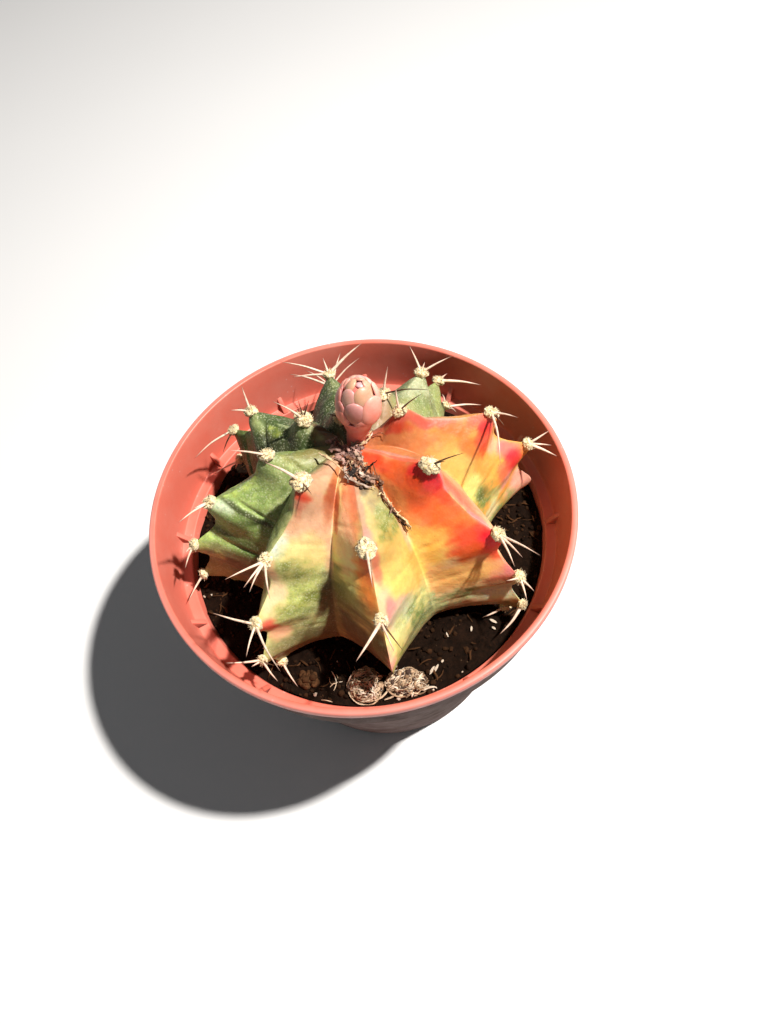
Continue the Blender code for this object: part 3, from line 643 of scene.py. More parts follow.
body = {
    "ridge": [(0, 36), (5, 37.8), (12, 40), (20, 39.5), (27, 36.5), (33.5, 31), (38, 25), (41, 18), (42, 10),
              (41, 4), (38.5, 0.3)],
    "groove": [(0, 36), (4, 36.2), (10, 36), (16, 33.5), (21.5, 29.5), (26, 24), (29, 17), (30.8, 10), (30.6, 4),
               (28, 0.3)],
    "setBack": 3.4, "crack": 0.12, "ridgeLength": 70.69, "linePoints": 401,
    "chin": 4.8, "chinAbove": 5.4, "chinBelow": 3.1, "chinDrop": 1.0, "crestRound": 0.12, "chinRound": -0.07,
    "fullness": 1.7, "fullnessLoss": 0.95, "pinch": 0.15, "valley": 0.5,
    "crease": (0.25, 0.25, 0.25, 0.9, 0.9, 0.25, 0.25, 0.25), "creaseAbove": 4.2, "creaseWidth": 0.75,
    "stepsPerRib": 64, "rings": 156, "baseRings": 6, "neckRadius": 13.0, "neckDepth": 10.7,
    "waves": 0.22, "waveScale": 0.22, "pores": 0.05, "poreScale": 1.4, "sideCrowding": 1.15,
}
# how the foot closes under the soil: share of the way, radius and height
footing = ((0, 0.2, 0.5, 0.85, 1), (30, 16, body["neckRadius"], 11.5, 0), (0.3, 0.3, 0, -9, -body["neckDepth"]))
# direction, reach, height, areoles and bare chins (mm down the ridge from the crown)
ribs = [
    (0.2, 0.97, 1.02, (13.4, 34.2, 49.4), (62.4,)),
    (44.4, 0.87, 0.86, (16, 34.5, 47.2, 60), ()),
    (91.2, 0.80, 0.83, (8, 35.1, 50, 62), ()),
    (137, 0.87, 0.85, (12.6, 31.6, 48.3, 62), ()),
    (187.7, 0.92, 0.97, (18.2, 36.3, 50.6, 62), ()),
    (228.2, 0.96, 1.02, (16.9, 33.8, 47.9, 59.5, 68.4), ()),
    (268.5, 0.98, 1.01, (28.3, 42.3), (54,)),
    (315.3, 0.97, 1.05, (22, 41.4, 53.6, 63.2, 68), ()),
]
ribNames = {"G": 0, "F": 1, "E": 2, "D": 3, "C": 4, "B": 5, "A": 6, "H": 7}
ridgeLine = smoothPath(body["ridge"], body["linePoints"])
grooveLine = smoothPath(body["groove"], body["linePoints"])
ridgeAhead = unit(np.gradient(ridgeLine, axis=0))


def onLine(line, mark):
    # the point of a section line at a fractional index
    return np.stack([np.interp(mark, np.arange(len(line)), line[:, k]) for k in (0, 1)], axis=-1)


def skinAt(rib, side, share):
    # points of the ribbed skin over the soil, in mm: rib number, side -1..1 across it, share 0..1 down it
    rib, side, share = np.broadcast_arrays(rib, side, share)
    own = np.array([r[:3] for r in ribs])
    step = np.where(side < 0, -1, 1)
    near = (rib + step) % len(ribs)
    turn = (own[near, 0] - own[rib, 0]) * step % 360 * step
    distance = share * body["ridgeLength"]
    swell = np.zeros(share.shape)
    crease = np.zeros(share.shape)
    for index, (direction, reach, height, areoles, bare) in enumerate(ribs):
        here = rib == index
        for place in areoles + bare:
            away = distance[here] - place - body["chinDrop"]
            away = away / np.where(away < 0, body["chinAbove"], body["chinBelow"])
            swell[here] += np.exp(-away * away)
            gap = (distance[here] - place + body["creaseAbove"]) / body["creaseWidth"]
            crease[here] += np.exp(-gap * gap)
    blunt = (body["crestRound"] + body["chinRound"] * np.clip(swell, 0, 1)) * np.clip(2.5 * share, 0, 1)
    across = (np.sqrt(side * side + blunt * blunt) - blunt) / (np.sqrt(1 + blunt * blunt) - blunt)
    power = body["fullness"] - body["fullnessLoss"] * share
    power = power - body["pinch"] * np.clip(swell, 0, 1) * np.clip(2 * share, 0, 1)
    valley = 1 + body["valley"] * np.clip((share - 0.3) / 0.45, 0, 1)  # the grooves open out towards the soil
    rise = (1 - across ** power) ** valley * (1 - body["crack"] * across)
    mark = share * (body["linePoints"] - 1)
    ridge, groove, along = (onLine(line, mark) for line in (ridgeLine, grooveLine, ridgeAhead))
    normal = np.stack([-along[..., 1], along[..., 0]], axis=-1)
    fade = np.minimum(1, 6 * share) * np.minimum(1, 8 * (1 - share))
    chin = body["chin"] * (swell - 0.4) * fade
    dent = np.array(body["crease"])[rib] * crease * fade * np.sin(np.pi * np.clip(across, 0, 1)) ** 0.7
    crest = ridge + normal * chin[..., None]
    flat = groove + (crest - groove) * rise[..., None] - normal * dent[..., None]
    reach = own[rib, 1] + (own[near, 1] - own[rib, 1]) * across / 2
    tall = own[rib, 2] + (own[near, 2] - own[rib, 2]) * across / 2
    radius = flat[..., 0] * (1 - (1 - reach) * np.minimum(1, 2 * share))
    level = flat[..., 1] * (1 - (1 - tall) * np.minimum(1, 4 * share))
    angle = np.radians(own[rib, 0] + turn * across / 2)
    back = body["setBack"] * np.clip(level / crownHeight, 0, 1)
    return np.stack([radius * np.cos(angle), radius * np.sin(angle) + back, level], axis=-1)


def skinFrame(rib, distance, reach=0.012):
    # place, outward normal, downhill and sideways directions on a rib's ridge
    share = distance / body["ridgeLength"]
    here = skinAt(rib, 0.0, share)
    down = unit(skinAt(rib, 0.0, share + reach) - skinAt(rib, 0.0, share - reach))
    angle = math.radians(ribs[rib][0])
    sideways = np.array((-math.sin(angle), math.cos(angle), 0))
    normal = unit(np.cross(sideways, down))
    if np.dot(normal, here - np.array((0, 0, 15))) < 0:
        normal = -normal
    return here, normal, down, sideways


colours = {
    "crimson": (222, 10, 36), "red": (242, 34, 38), "scarlet": (250, 66, 32), "burnt": (244, 78, 12),
    "flame": (254, 100, 38), "orange": (253, 124, 46), "apricot": (253, 150, 82), "amber": (253, 166, 70),
    "ochre": (230, 120, 40), "yellow": (254, 204, 104), "lemon": (246, 232, 134), "butter": (247, 222, 140),
    "cream": (249, 216, 166), "peach": (251, 190, 148), "pink": (251, 174, 158), "blossom": (251, 210, 196),
    "rose": (250, 116, 116), "coral": (252, 104, 82), "salmon": (251, 128, 96), "mint": (216, 220, 172),
    "mist": (212, 220, 200), "limeCream": (214, 216, 136), "lime": (192, 204, 108), "leaf": (150, 168, 94),
    "fern": (162, 172, 80), "moss": (118, 128, 52), "sage": (152, 160, 104), "green": (106, 126, 64),
    "deepGreen": (58, 76, 34), "nightGreen": (46, 52, 24), "olive": (116, 106, 54), "tan": (228, 172, 124),
    "bark": (190, 168, 116), "rust": (196, 88, 44), "maroon": (118, 54, 26), "cork": (122, 108, 74),
    "mauve": (150, 104, 84), "moor": (112, 112, 66), "peat": (84, 76, 50),
}
ribBase = ["amber", "sage", "deepGreen", "deepGreen", "green", "limeCream", "butter", "tan"]
# how light each rib is painted, in the order of the ribs: painted light and shade that evens out how the light falls,
# ribs lying in shade painted lighter
ribPaintedLight = (0.98, 0.86, 0.95, 1.9, 2.3, 1.0, 0.95, 1.55)
# painted light and shade on the two flanks of each rib: a flank facing away from the light painted lighter, one facing
# it darker
flankPaintedLight = ((1, 1), (1, 1), (1, 1), (1, 1), (1, 1), (1, 1), (1.9, 0.95), (1, 0.66))
# painted shade on the sunlit crown: the plant painted darker at the crown and lighter outwards (mm down the ridge)
crownPaintedShade = ((0, 12, 24, 36, 48), (0.5, 0.5, 0.57, 0.76, 1.0))
mottledColours = ("fern", "moss", "leaf", "bark", "green", "sage", "lime")
# brush strokes, the later over the earlier, by rib: down the ridge (mm), across (-1..1), their half sizes,
# colour and strength
strokes = [
    # crown
    ("H", [(3, 0, 7, 1.4, "salmon", 0.9)]),
    ("A", [(4, 0, 8, 1.4, "peach", 0.9)]),
    ("B", [(4, 0, 8, 1.2, "peach", 0.8)]),
    ("G", [(4, 0, 8, 1.4, "salmon", 0.9)]),
    ("F", [(4, 0, 7, 1.2, "bark", 0.8)]),
    ("E", [(4, 0, 7, 1.2, "olive", 0.8)]),
    ("D", [(4, 0, 7, 1.3, "mauve", 0.7)]),
    ("C", [(4, 0, 7, 1.2, "olive", 0.8)]),
    # right front rib
    ("H", [(15, -0.6, 14, 0.6, "flame", 0.95), (9, -0.5, 5, 0.35, "scarlet", 0.6),
        (21, -0.88, 11, 0.2, "apricot", 0.85), (29, -0.3, 12, 0.4, "flame", 0.95),
        (27, -0.1, 6, 0.16, "scarlet", 0.75), (36, -0.85, 7, 0.26, "amber", 0.9),
        (39, -0.6, 5, 0.24, "amber", 0.75), (15, 0.65, 12, 0.55, "apricot", 0.95), (12, 0.3, 7, 0.1, "pink", 0.8),
        (8, 0.08, 6, 0.13, "salmon", 0.9), (17, 0.1, 5, 0.13, "coral", 0.7), (22, -0.2, 3.8, 0.24, "red", 0.95),
        (23.4, -0.08, 2.8, 0.15, "crimson", 0.95), (22, -0.42, 2.4, 0.1, "burnt", 0.8),
        (26.3, 0.07, 2.8, 0.13, "rose", 0.85), (30, 0.4, 8, 0.26, "salmon", 0.95), (29, 0.3, 5, 0.14, "coral", 0.7),
        (34, 0.16, 5, 0.11, "coral", 0.7), (32, 0.8, 9, 0.22, "tan", 0.8),
        (41.5, -0.26, 5.2, 0.28, "scarlet", 0.95), (43, -0.1, 4.2, 0.15, "crimson", 0.97),
        (43.3, -0.33, 2.6, 0.16, "burnt", 0.85), (37, 0.05, 3, 0.1, "rose", 0.8),
        (47, 0.0, 5.4, 0.28, "scarlet", 0.85), (51, -0.12, 2.4, 0.2, "rose", 0.9),
        (47.8, -0.3, 3.5, 0.12, "salmon", 0.8), (49.5, -0.45, 4, 0.34, "apricot", 0.95),
        # the maroon stroke under the third areole (d 54) is partly the skin's colour, partly painted shade under its
        # chin
        (48.5, -0.84, 5.5, 0.28, "apricot", 0.8), (54, -0.18, 1.6, 0.14, "maroon", 0.7),
        (57, -0.6, 3.8, 0.36, "sage", 0.95), (56, -0.45, 1.6, 0.14, "green", 0.7),
        (59, -0.78, 5, 0.34, "sage", 0.85), (58, -0.1, 3.6, 0.24, "mint", 0.9), (59, -0.32, 3, 0.12, "mint", 0.8),
        (65, -0.7, 5, 0.5, "cork", 0.6), (52, 0.55, 12, 0.45, "peach", 0.8), (62, 0.6, 9, 0.5, "limeCream", 0.8)]),
    # front rib
    ("A", [(9, 0.1, 8, 1.0, "peach", 0.95), (11, -0.12, 7, 0.2, "salmon", 0.8),
        (18, -0.34, 9, 0.34, "apricot", 0.9), (17, -0.3, 8, 0.3, "salmon", 0.5), (27, -0.55, 10, 0.3, "peach", 0.7),
        # on the next line the rust stroke at the left edge (d 20) is painted shade in the crevice, and the narrow
        # peach stroke on the ridge (d 20) a painted highlight
        (20, -0.86, 6, 0.1, "rust", 0.8), (36, 0.6, 11, 0.5, "yellow", 0.97), (20, 0.06, 8, 0.14, "peach", 0.95),
        (26.5, 0.1, 3, 0.12, "pink", 0.8), (22.5, 0.36, 4, 0.18, "butter", 0.9), (19, 0.6, 3.6, 0.28, "bark", 0.9),
        (15.5, 0.35, 1.6, 0.16, "cork", 0.7), (23, 0.68, 3.4, 0.26, "limeCream", 0.85),
        (26.6, 0.6, 3.6, 0.34, "fern", 0.97), (28.2, 0.5, 1.3, 0.12, "moss", 0.55),
        (25.2, 0.76, 1.2, 0.1, "moss", 0.4), (21.5, 0.56, 1.0, 0.1, "leaf", 0.5), (41, 0.92, 8, 0.14, "amber", 0.7),
        (31, 0.95, 5, 0.08, "peach", 0.8), (33.3, 0.15, 5, 0.1, "salmon", 0.85),
        # the blossom stroke on the ridge here is a painted highlight
        (33, -0.13, 4.5, 0.1, "coral", 0.9), (33, 0.02, 5, 0.06, "blossom", 0.7),
        (40, 0.15, 3.4, 0.16, "peach", 0.9), (37, -0.22, 7, 0.24, "ochre", 0.9),
        (42.6, 0.22, 2.6, 0.09, "rose", 0.95), (45, 0.31, 4.2, 0.2, "pink", 0.85), (47, 0.32, 4, 0.2, "mint", 0.7),
        (48.5, 0.5, 4, 0.18, "mint", 0.85), (56, 0.72, 8, 0.34, "leaf", 0.95), (52, 0.55, 3, 0.08, "green", 0.7),
        (57.5, 0.62, 4, 0.1, "green", 0.75), (50, 0.92, 6, 0.12, "limeCream", 0.7),
        (50, 0.3, 4, 0.1, "limeCream", 0.8), (59, 0.62, 6, 0.24, "green", 0.6), (55, 0.2, 3, 0.06, "fern", 0.6),
        (57, 0.0, 6, 0.13, "pink", 0.9), (61, 0.45, 6, 0.26, "sage", 0.9), (67.5, 0.05, 4.5, 0.6, "fern", 0.97),
        # the moor and peat strokes on the left flank's lower half (this line and the next) are painted shade
        (63.5, 0.22, 4.5, 0.15, "fern", 0.85), (44, -0.55, 8, 0.34, "moor", 0.85),
        (48, -0.85, 13, 0.26, "moor", 0.95), (58, -0.55, 12, 0.5, "peat", 0.97), (51, -0.2, 5, 0.14, "moor", 0.9)]),
    # dark moor strokes at the feet of the grooves and ribs: partly the feet's own brown, partly painted shade
    ("B", [(58, 0.9, 9, 0.25, "moor", 0.9)]),
    ("A", [(60, 1.0, 9, 0.22, "sage", 0.9)]),
    ("H", [(60, -0.95, 9, 0.16, "sage", 0.9), (66, 0.3, 4, 0.8, "moor", 0.8)]),
    ("A", [(66, 0.7, 4, 0.5, "moor", 0.6)]),
    # left front rib
    ("B", [(9, 0.4, 8, 0.9, "peach", 0.95), (10, 0.85, 7, 0.18, "apricot", 0.9),
        # the rust stroke at the right edge (d 19) is painted shade in the groove
        (15, 0.5, 3.4, 0.22, "cream", 0.85), (22, 0.45, 7, 0.5, "peach", 0.95), (19, 0.9, 6, 0.2, "rust", 0.9),
        (24, 0.2, 4, 0.1, "salmon", 0.55), (19.3, 0.18, 0.95, 0.27, "scarlet", 0.97),
        (20.8, 0.16, 1.2, 0.2, "salmon", 0.4), (27, 0.68, 7, 0.3, "peach", 0.8), (30, 0.96, 9, 0.1, "peach", 0.85),
        (25.5, 0.16, 3.6, 0.2, "tan", 0.9), (30.6, 0.13, 2.6, 0.13, "mist", 0.9),
        (32, 0.55, 5, 0.34, "butter", 0.9), (37, 0.46, 4.2, 0.34, "fern", 0.8), (35, 0.26, 1.3, 0.14, "moss", 0.75),
        (37.6, 0.42, 0.9, 0.2, "moss", 0.6), (40, 0.66, 2.4, 0.16, "lime", 0.8), (36, 0.1, 2.6, 0.09, "tan", 0.9),
        (43, 0.6, 3.4, 0.28, "lime", 0.9), (44.5, 0.74, 1.8, 0.12, "moss", 0.5),
        (42.5, 0.16, 5, 0.15, "cream", 0.95), (46.5, 0.42, 3, 0.26, "fern", 0.75),
        # the moor and peat strokes low on this flank (this line and the next) are partly the foot's brown, partly
        # painted shade
        (50, 0.72, 4.5, 0.3, "sage", 0.9), (56, 0.5, 4, 0.4, "sage", 0.92), (60, 0.5, 4.6, 0.46, "moor", 0.95),
        (63, 0.6, 4, 0.4, "peat", 0.9), (54, 0.7, 1.6, 0.3, "leaf", 0.6), (50.2, 0.12, 2.7, 0.09, "coral", 0.95),
        (54.5, 0.2, 2.6, 0.14, "peach", 0.85), (59.5, 0.22, 3, 0.2, "sage", 0.9), (65, 0.5, 5, 0.5, "olive", 0.8),
        # the moor stroke at the right edge (d 47) is the painted shadow that the front rib casts
        (47, 0.92, 10, 0.2, "moor", 0.92), (44, 0.68, 2.4, 0.16, "moss", 0.75), (48.5, 0.45, 2.0, 0.2, "leaf", 0.8),
        (30, -0.65, 20, 0.5, "green", 0.85), (55, -0.65, 14, 0.6, "sage", 0.8)]),
    # left rib
    ("C", [(10, 0.2, 7, 0.9, "olive", 0.7), (17, 0.5, 7, 0.4, "sage", 0.9), (27, 0.48, 6.5, 0.42, "leaf", 0.9),
        (27, 0.08, 7, 0.12, "fern", 0.7), (26, 0.9, 6, 0.16, "sage", 0.7), (35.5, 0.18, 1.9, 0.18, "mist", 0.7),
        # the narrow nightGreen and deepGreen strokes here and on the next line are painted shade in the creases
        (33.8, 0.5, 1.0, 0.5, "nightGreen", 0.85), (41, 0.45, 5, 0.4, "green", 0.8),
        (47.8, 0.15, 3, 0.22, "leaf", 0.9), (44, 0.35, 1.0, 0.3, "deepGreen", 0.7),
        # the peat stroke at the foot is partly the foot's brown, partly painted shade
        (46, 0.7, 5, 0.25, "deepGreen", 0.8), (57, 0.4, 8, 0.6, "peat", 0.95), (52, 0.1, 3, 0.2, "leaf", 0.8),
        (62, 0.1, 6, 0.3, "moor", 0.8), (20, -0.4, 9, 0.4, "green", 0.8), (42, -0.5, 14, 0.45, "leaf", 0.6)]),
    # back left and back ribs
    # the nightGreen strokes on the flank towards the left rib (this line and the next) are painted shade
    ("D", [(12, 0.3, 6, 0.4, "sage", 0.8), (21, 0.75, 7, 0.32, "nightGreen", 0.9),
        (24, 0.32, 4.5, 0.14, "fern", 0.9), (27, 0.6, 4, 0.25, "nightGreen", 0.8),
        (31, 0.15, 3, 0.22, "sage", 0.85), (20, 0.06, 4, 0.1, "mint", 0.6), (36, 0.3, 1.4, 0.5, "nightGreen", 0.7),
        (42, 0.2, 4, 0.3, "green", 0.9), (45, -0.4, 12, 0.4, "green", 0.7)]),
    ("E", [(24, -0.15, 8, 0.35, "green", 0.9), (31, 0.0, 4, 0.25, "sage", 0.9), (18, 0.3, 8, 0.3, "green", 0.7),
        # the nightGreen stroke on the flank towards the back-left rib (d 25) is painted shade
        (25, 0.75, 9, 0.3, "nightGreen", 0.8), (45, 0.4, 10, 0.4, "green", 0.7), (50, -0.4, 10, 0.4, "leaf", 0.6)]),
    ("F", [(13, -0.65, 5, 0.4, "tan", 0.8), (13, -0.15, 6, 0.3, "tan", 0.7), (17, 0.0, 4, 0.2, "leaf", 0.7),
        (10, -0.95, 4, 0.2, "bark", 0.9), (24, -0.6, 7, 0.4, "limeCream", 0.75), (32, -0.55, 6, 0.2, "leaf", 0.85),
        (29, -0.12, 6, 0.22, "mint", 0.9), (36, -0.75, 6, 0.22, "lime", 0.8), (36, -0.35, 5, 0.1, "mint", 0.8),
        (22, 0.3, 8, 0.4, "sage", 0.8), (45, 0.3, 10, 0.5, "leaf", 0.7), (52, -0.4, 9, 0.4, "lime", 0.7)]),
    # right rib
    ("G", [(9, -0.7, 7, 0.4, "apricot", 0.9), (20, -0.75, 9, 0.35, "apricot", 0.9),
        (33, -0.5, 8, 0.4, "amber", 0.95), (33, -0.78, 10, 0.26, "yellow", 0.95),
        (13, -0.48, 4, 0.16, "scarlet", 0.8), (17, -0.27, 6, 0.13, "coral", 0.9),
        # the narrow pink stroke on the ridge (d 23) is a painted highlight
        (19, -0.14, 10, 0.16, "coral", 0.8), (23, -0.05, 8, 0.06, "pink", 0.8), (28, -0.3, 4, 0.14, "orange", 0.8),
        (33.5, -0.5, 4, 0.12, "orange", 0.8), (33.2, -0.1, 3.4, 0.16, "coral", 0.9),
        (34.8, -0.22, 2.4, 0.1, "red", 0.95), (36.5, -0.35, 3, 0.14, "scarlet", 0.85),
        (41, -0.2, 3.4, 0.14, "peach", 0.9), (43, -0.5, 5, 0.2, "amber", 0.8),
        (42.5, -0.85, 4.5, 0.2, "lemon", 0.9), (46, -0.15, 3, 0.12, "rose", 0.85),
        (49, -0.22, 3, 0.11, "crimson", 0.75), (49, -0.36, 3, 0.1, "coral", 0.7), (53, -0.35, 3, 0.12, "pink", 0.8),
        (49.6, -0.86, 5.0, 0.36, "leaf", 0.97), (48.6, -0.8, 3.4, 0.24, "moss", 0.6),
        (47.4, -0.76, 1.8, 0.12, "deepGreen", 0.5), (53.5, -0.55, 3.4, 0.14, "limeCream", 0.9),
        (60, -0.1, 5, 0.24, "pink", 0.9), (60.5, -0.4, 4, 0.14, "leaf", 0.85), (59, -0.75, 5, 0.26, "mint", 0.8),
        (64, -0.55, 4, 0.4, "leaf", 0.8), (20, 0.45, 9, 0.5, "peach", 0.8), (36, 0.4, 9, 0.4, "amber", 0.8),
        (50, 0.5, 10, 0.5, "limeCream", 0.8), (34, 0.85, 9, 0.3, "sage", 0.7)]),
]


# how the strokes' edges waver, run out in streaks and fade, small strokes less than big ones
brush = {
    "calmDown": 6, "calmSide": 0.3, "reach": 1.7, "streak": 0.5, "fade": 1.5, "streakScale": 0.55, "mottleScale": 0.5,
    "waverDown": ((1.3, 0.18), (0.5, 0.8)), "waverSide": ((0.07, 0.16), (0.03, 0.9)),
    "corkFrom": 63.5, "corkWaver": 1.6, "corkFade": 3.0, "corkShare": 0.85, "washSize": 0.06,
}


def paintSkin(points, rib, side, share):
    # lays the strokes over each other
    distance = share * body["ridgeLength"]
    (size, scale), (smallSize, smallScale) = brush["waverDown"]
    wobbleDown = size * noiseAt(points, scale, 1, 3) + smallSize * noiseAt(points, smallScale, 2)
    (size, scale), (smallSize, smallScale) = brush["waverSide"]
    wobbleSide = size * noiseAt(points, scale, 3, 3) + smallSize * noiseAt(points, smallScale, 4)
    streakField = np.stack([distance * 0.9, side * 2.4 + rib * 7.0, np.zeros(len(side))], axis=1)
    streaks = noiseAt(streakField, brush["streakScale"], 5, 3)
    mottle = np.clip(0.5 + 1.5 * noiseAt(points, brush["mottleScale"], 11, 3), 0, 1)
    paint = np.array([colours[ribBase[k]] for k in rib], float)
    for name, ribStrokes in strokes:
        away = (rib - ribNames[name] + len(ribs) // 2) % len(ribs) - len(ribs) // 2
        local = side + 2.0 * away
        near = np.abs(away) <= 1
        for down, across, downSize, acrossSize, colour, strength in ribStrokes:
            calmDown, calmSide = min(1, downSize / brush["calmDown"]), min(1, acrossSize / brush["calmSide"])
            reach = ((distance + calmDown * wobbleDown - down) / downSize) ** 2
            reach += ((local + calmSide * wobbleSide - across) / acrossSize) ** 2
            cover = np.clip((brush["reach"] - reach + brush["streak"] * streaks) / brush["fade"], 0, 1)
            cover = cover * cover * (3 - 2 * cover) * strength * near
            if colour in mottledColours:
                cover = cover * (0.35 + 0.65 * mottle)
            paint += (np.array(colours[colour], float) - paint) * cover[:, None]
    # where the paint is green, how corky the foot is, and an uneven wash over all
    green = np.clip((paint[:, 1] - paint[:, 0] + 14) / 24, 0, 1)
    waver = brush["corkWaver"] * noiseAt(points, 0.35, 6, 2)
    cork = np.clip((distance - brush["corkFrom"] + waver) / brush["corkFade"], 0, 1)
    cork *= np.clip(0.35 + np.abs(side), 0, 1)
    paint += (np.array(colours["cork"], float) - paint) * (brush["corkShare"] * cork)[:, None]
    paint *= (1 + brush["washSize"] * noiseAt(points, 0.9, 7, 2))[:, None]
    return np.clip(paint, 4, 255), green, cork


def makeSkin():
    around = body["stepsPerRib"] * len(ribs)
    rings = body["rings"] + body["baseRings"]
    deselectAll()
    bpy.ops.mesh.primitive_uv_sphere_add(segments=around, ring_count=rings, radius=1)
    skin = takePrimitive("cactusSkin")
    ball = getCoords(skin)
    ring = ringsOf(ball, rings)
    step = np.round(np.arctan2(ball[:, 1], ball[:, 0]) / (2 * np.pi) * around).astype(int) % around
    half = body["stepsPerRib"] // 2
    rib, part = np.divmod(step + half, body["stepsPerRib"])
    rib %= len(ribs)
    linear = (part - half) / half
    side = np.sign(linear) * np.abs(linear) ** body["sideCrowding"]
    share = np.clip(ring / body["rings"], 0, 1)
    points = skinAt(rib, side, share)

    low = ring > body["rings"]
    foot = (ring[low] - body["rings"]) / body["baseRings"]
    away = points[low][:, :2]
    length = np.linalg.norm(away, axis=1)[:, None]
    points[low, :2] = away / length * np.minimum(length, np.interp(foot, footing[0], footing[1])[:, None])
    points[low, 2] = np.interp(foot, footing[0], footing[2])

    # living waviness, along the outward direction
    outward = points - np.array((0, 3, 12))
    outward /= np.linalg.norm(outward, axis=1)[:, None] + 1e-6
    calm = np.clip(share * 10, 0, 1) * (share < 1)
    waves = body["waves"] * noiseAt(points, body["waveScale"], 8, 3)
    waves = waves + body["pores"] * noiseAt(points, body["poreScale"], 9, 2)
    points += outward * (calm * waves)[:, None]
    paint, green, cork = paintSkin(points, rib, side, share)
    points[:, 2] += soilTop
    setCoords(skin, points * mm)
    # painted light and shade: darker at the sunlit crown, lighter on ribs and flanks that lie in shade
    tone = np.interp(share * body["ridgeLength"], *crownPaintedShade) * np.array(ribPaintedLight)[rib]
    before, after = np.array(flankPaintedLight)[rib].T
    tone *= 1 + (before - 1) * np.clip(-3 * side - 0.2, 0, 1) + (after - 1) * np.clip(3 * side, 0, 1)
    addColours(skin, "paint", np.clip(toLinear(paint) * tone[:, None], 0, 0.92))
    addFloats(skin, "green", green)
    addFloats(skin, "cork", cork)
    tidyNormals(skin)
    smoothShade(skin)
    return skin


skinLook = {
    "wash": (1.0, 0.86, 0.66), "deep": (0.5, 0.16, 0.04), "grain": (72, 86, 34), "flecks": (214, 218, 180),
    "freckles": (110, 70, 36), "cork": ((98, 82, 56), (156, 138, 104)), "corkShare": 0.7,
    "cloudScale": 420, "deepScale": 260, "grainScale": 1500, "fleckScale": 1900, "freckleScale": 700,
}


def makeSkinFinish():
    look = skinLook
    skin = materialNodes("cactusSkin", 0.38)
    paint = skin.attribute("paint", "Color")
    green = skin.attribute("green")
    clouds = skin.ramp(skin.noise(look["cloudScale"], 4, 0.6), 0.3, 0.7)
    washed = skin.mix(skin.times(clouds, 0.08), paint, skin.mix(0.5, paint, look["wash"]))
    deep = skin.ramp(skin.noise(look["deepScale"], 5, 0.7, distortion=0.6), 0.52, 0.75, 0, 0.18)
    deepened = skin.mix(deep, washed, look["deep"], "MULTIPLY")
    # the green parts are grained: dark between many small pale flecks
    grain = skin.ramp(skin.noise(look["grainScale"], 3, 0.65), 0.52, 0.4)
    sunk = skin.tint(skin.times(grain, skin.times(green, 0.3)), deepened, look["grain"])
    flecks = skin.ramp(skin.cells(look["fleckScale"]), 0.46, 0.2)
    patchy = skin.ramp(skin.noise(look["cloudScale"], 4), 0.34, 0.6, 0.25, 1.0)
    flecked = skin.tint(skin.times(skin.times(flecks, patchy), skin.times(green, 0.5)), sunk, look["flecks"])
    freckles = skin.times(skin.ramp(skin.cells(look["freckleScale"]), 0.12, 0.05),
                          skin.ramp(skin.noise(150, 2), 0.55, 0.65))
    freckled = skin.tint(skin.times(freckles, 0.6), flecked, look["freckles"])
    cork = skin.twoTones(skin.ramp(skin.noise(700, 4, 0.7), 0.35, 0.65), look["cork"])
    skin.colour(skin.mix(skin.times(skin.attribute("cork"), look["corkShare"]), freckled, cork))
    skin.roughness(skin.ramp(skin.noise(300, 3), 0.3, 0.7, 0.44, 0.6))
    skin.set("Specular IOR Level", 0.4)
    skin.set("Subsurface Weight", 0.12)
    skin.set("Subsurface Radius", (1.0, 0.35, 0.15))
    skin.set("Subsurface Scale", 0.0015)
    pitted = skin.bump(skin.cells(look["fleckScale"]), 0.00006, 0.5)
    skin.normal(skin.bump(skin.noise(500, 4, 0.6), 0.0002, 0.5, pitted))
    return skin.material


cactusSkin = makeSkin()
finishPiece(cactusSkin, makeSkinFinish(), "cactus_skin", "cactus_body")


wool = {
    "size": (1.55, 1.9, 1.15), "lift": 0.15, "usual": 0.92, "lowFrom": 58, "lowScale": 0.8,
    "tufts": ((0.26, 1.9, 3), (0.16, 5.0, 2)), "seed": 3,
    "hairs": 120, "hairLength": 1.0, "hairRadius": 0.055, "hairSpread": 0.9, "hairSink": 0.93, "hairCurl": 0.22,
    # bigger or smaller than the rest, by rib and number down the rib
    "scale": {("A", 0): 1.18, ("B", 0): 1.25, ("H", 0): 1.12, ("D", 0): 1.1, ("F", 1): 0.95, ("G", 0): 0.85,
              ("C", 1): 0.85, ("C", 2): 0.85},
}


def areoleFrames():
    found = []
    for name, index in sorted(ribNames.items(), key=lambda pair: pair[1]):
        for number, distance in enumerate(ribs[index][3]):
            place, normal, down, sideways = skinFrame(index, distance)
            found.append({"key": (name, number), "place": place + np.array((0, 0, soilTop)), "normal": normal,
                          "down": down, "sideways": sideways, "distance": distance,
                          "scale": wool["scale"].get((name, number), wool["usual"])})
    return found


areoles = areoleFrames()


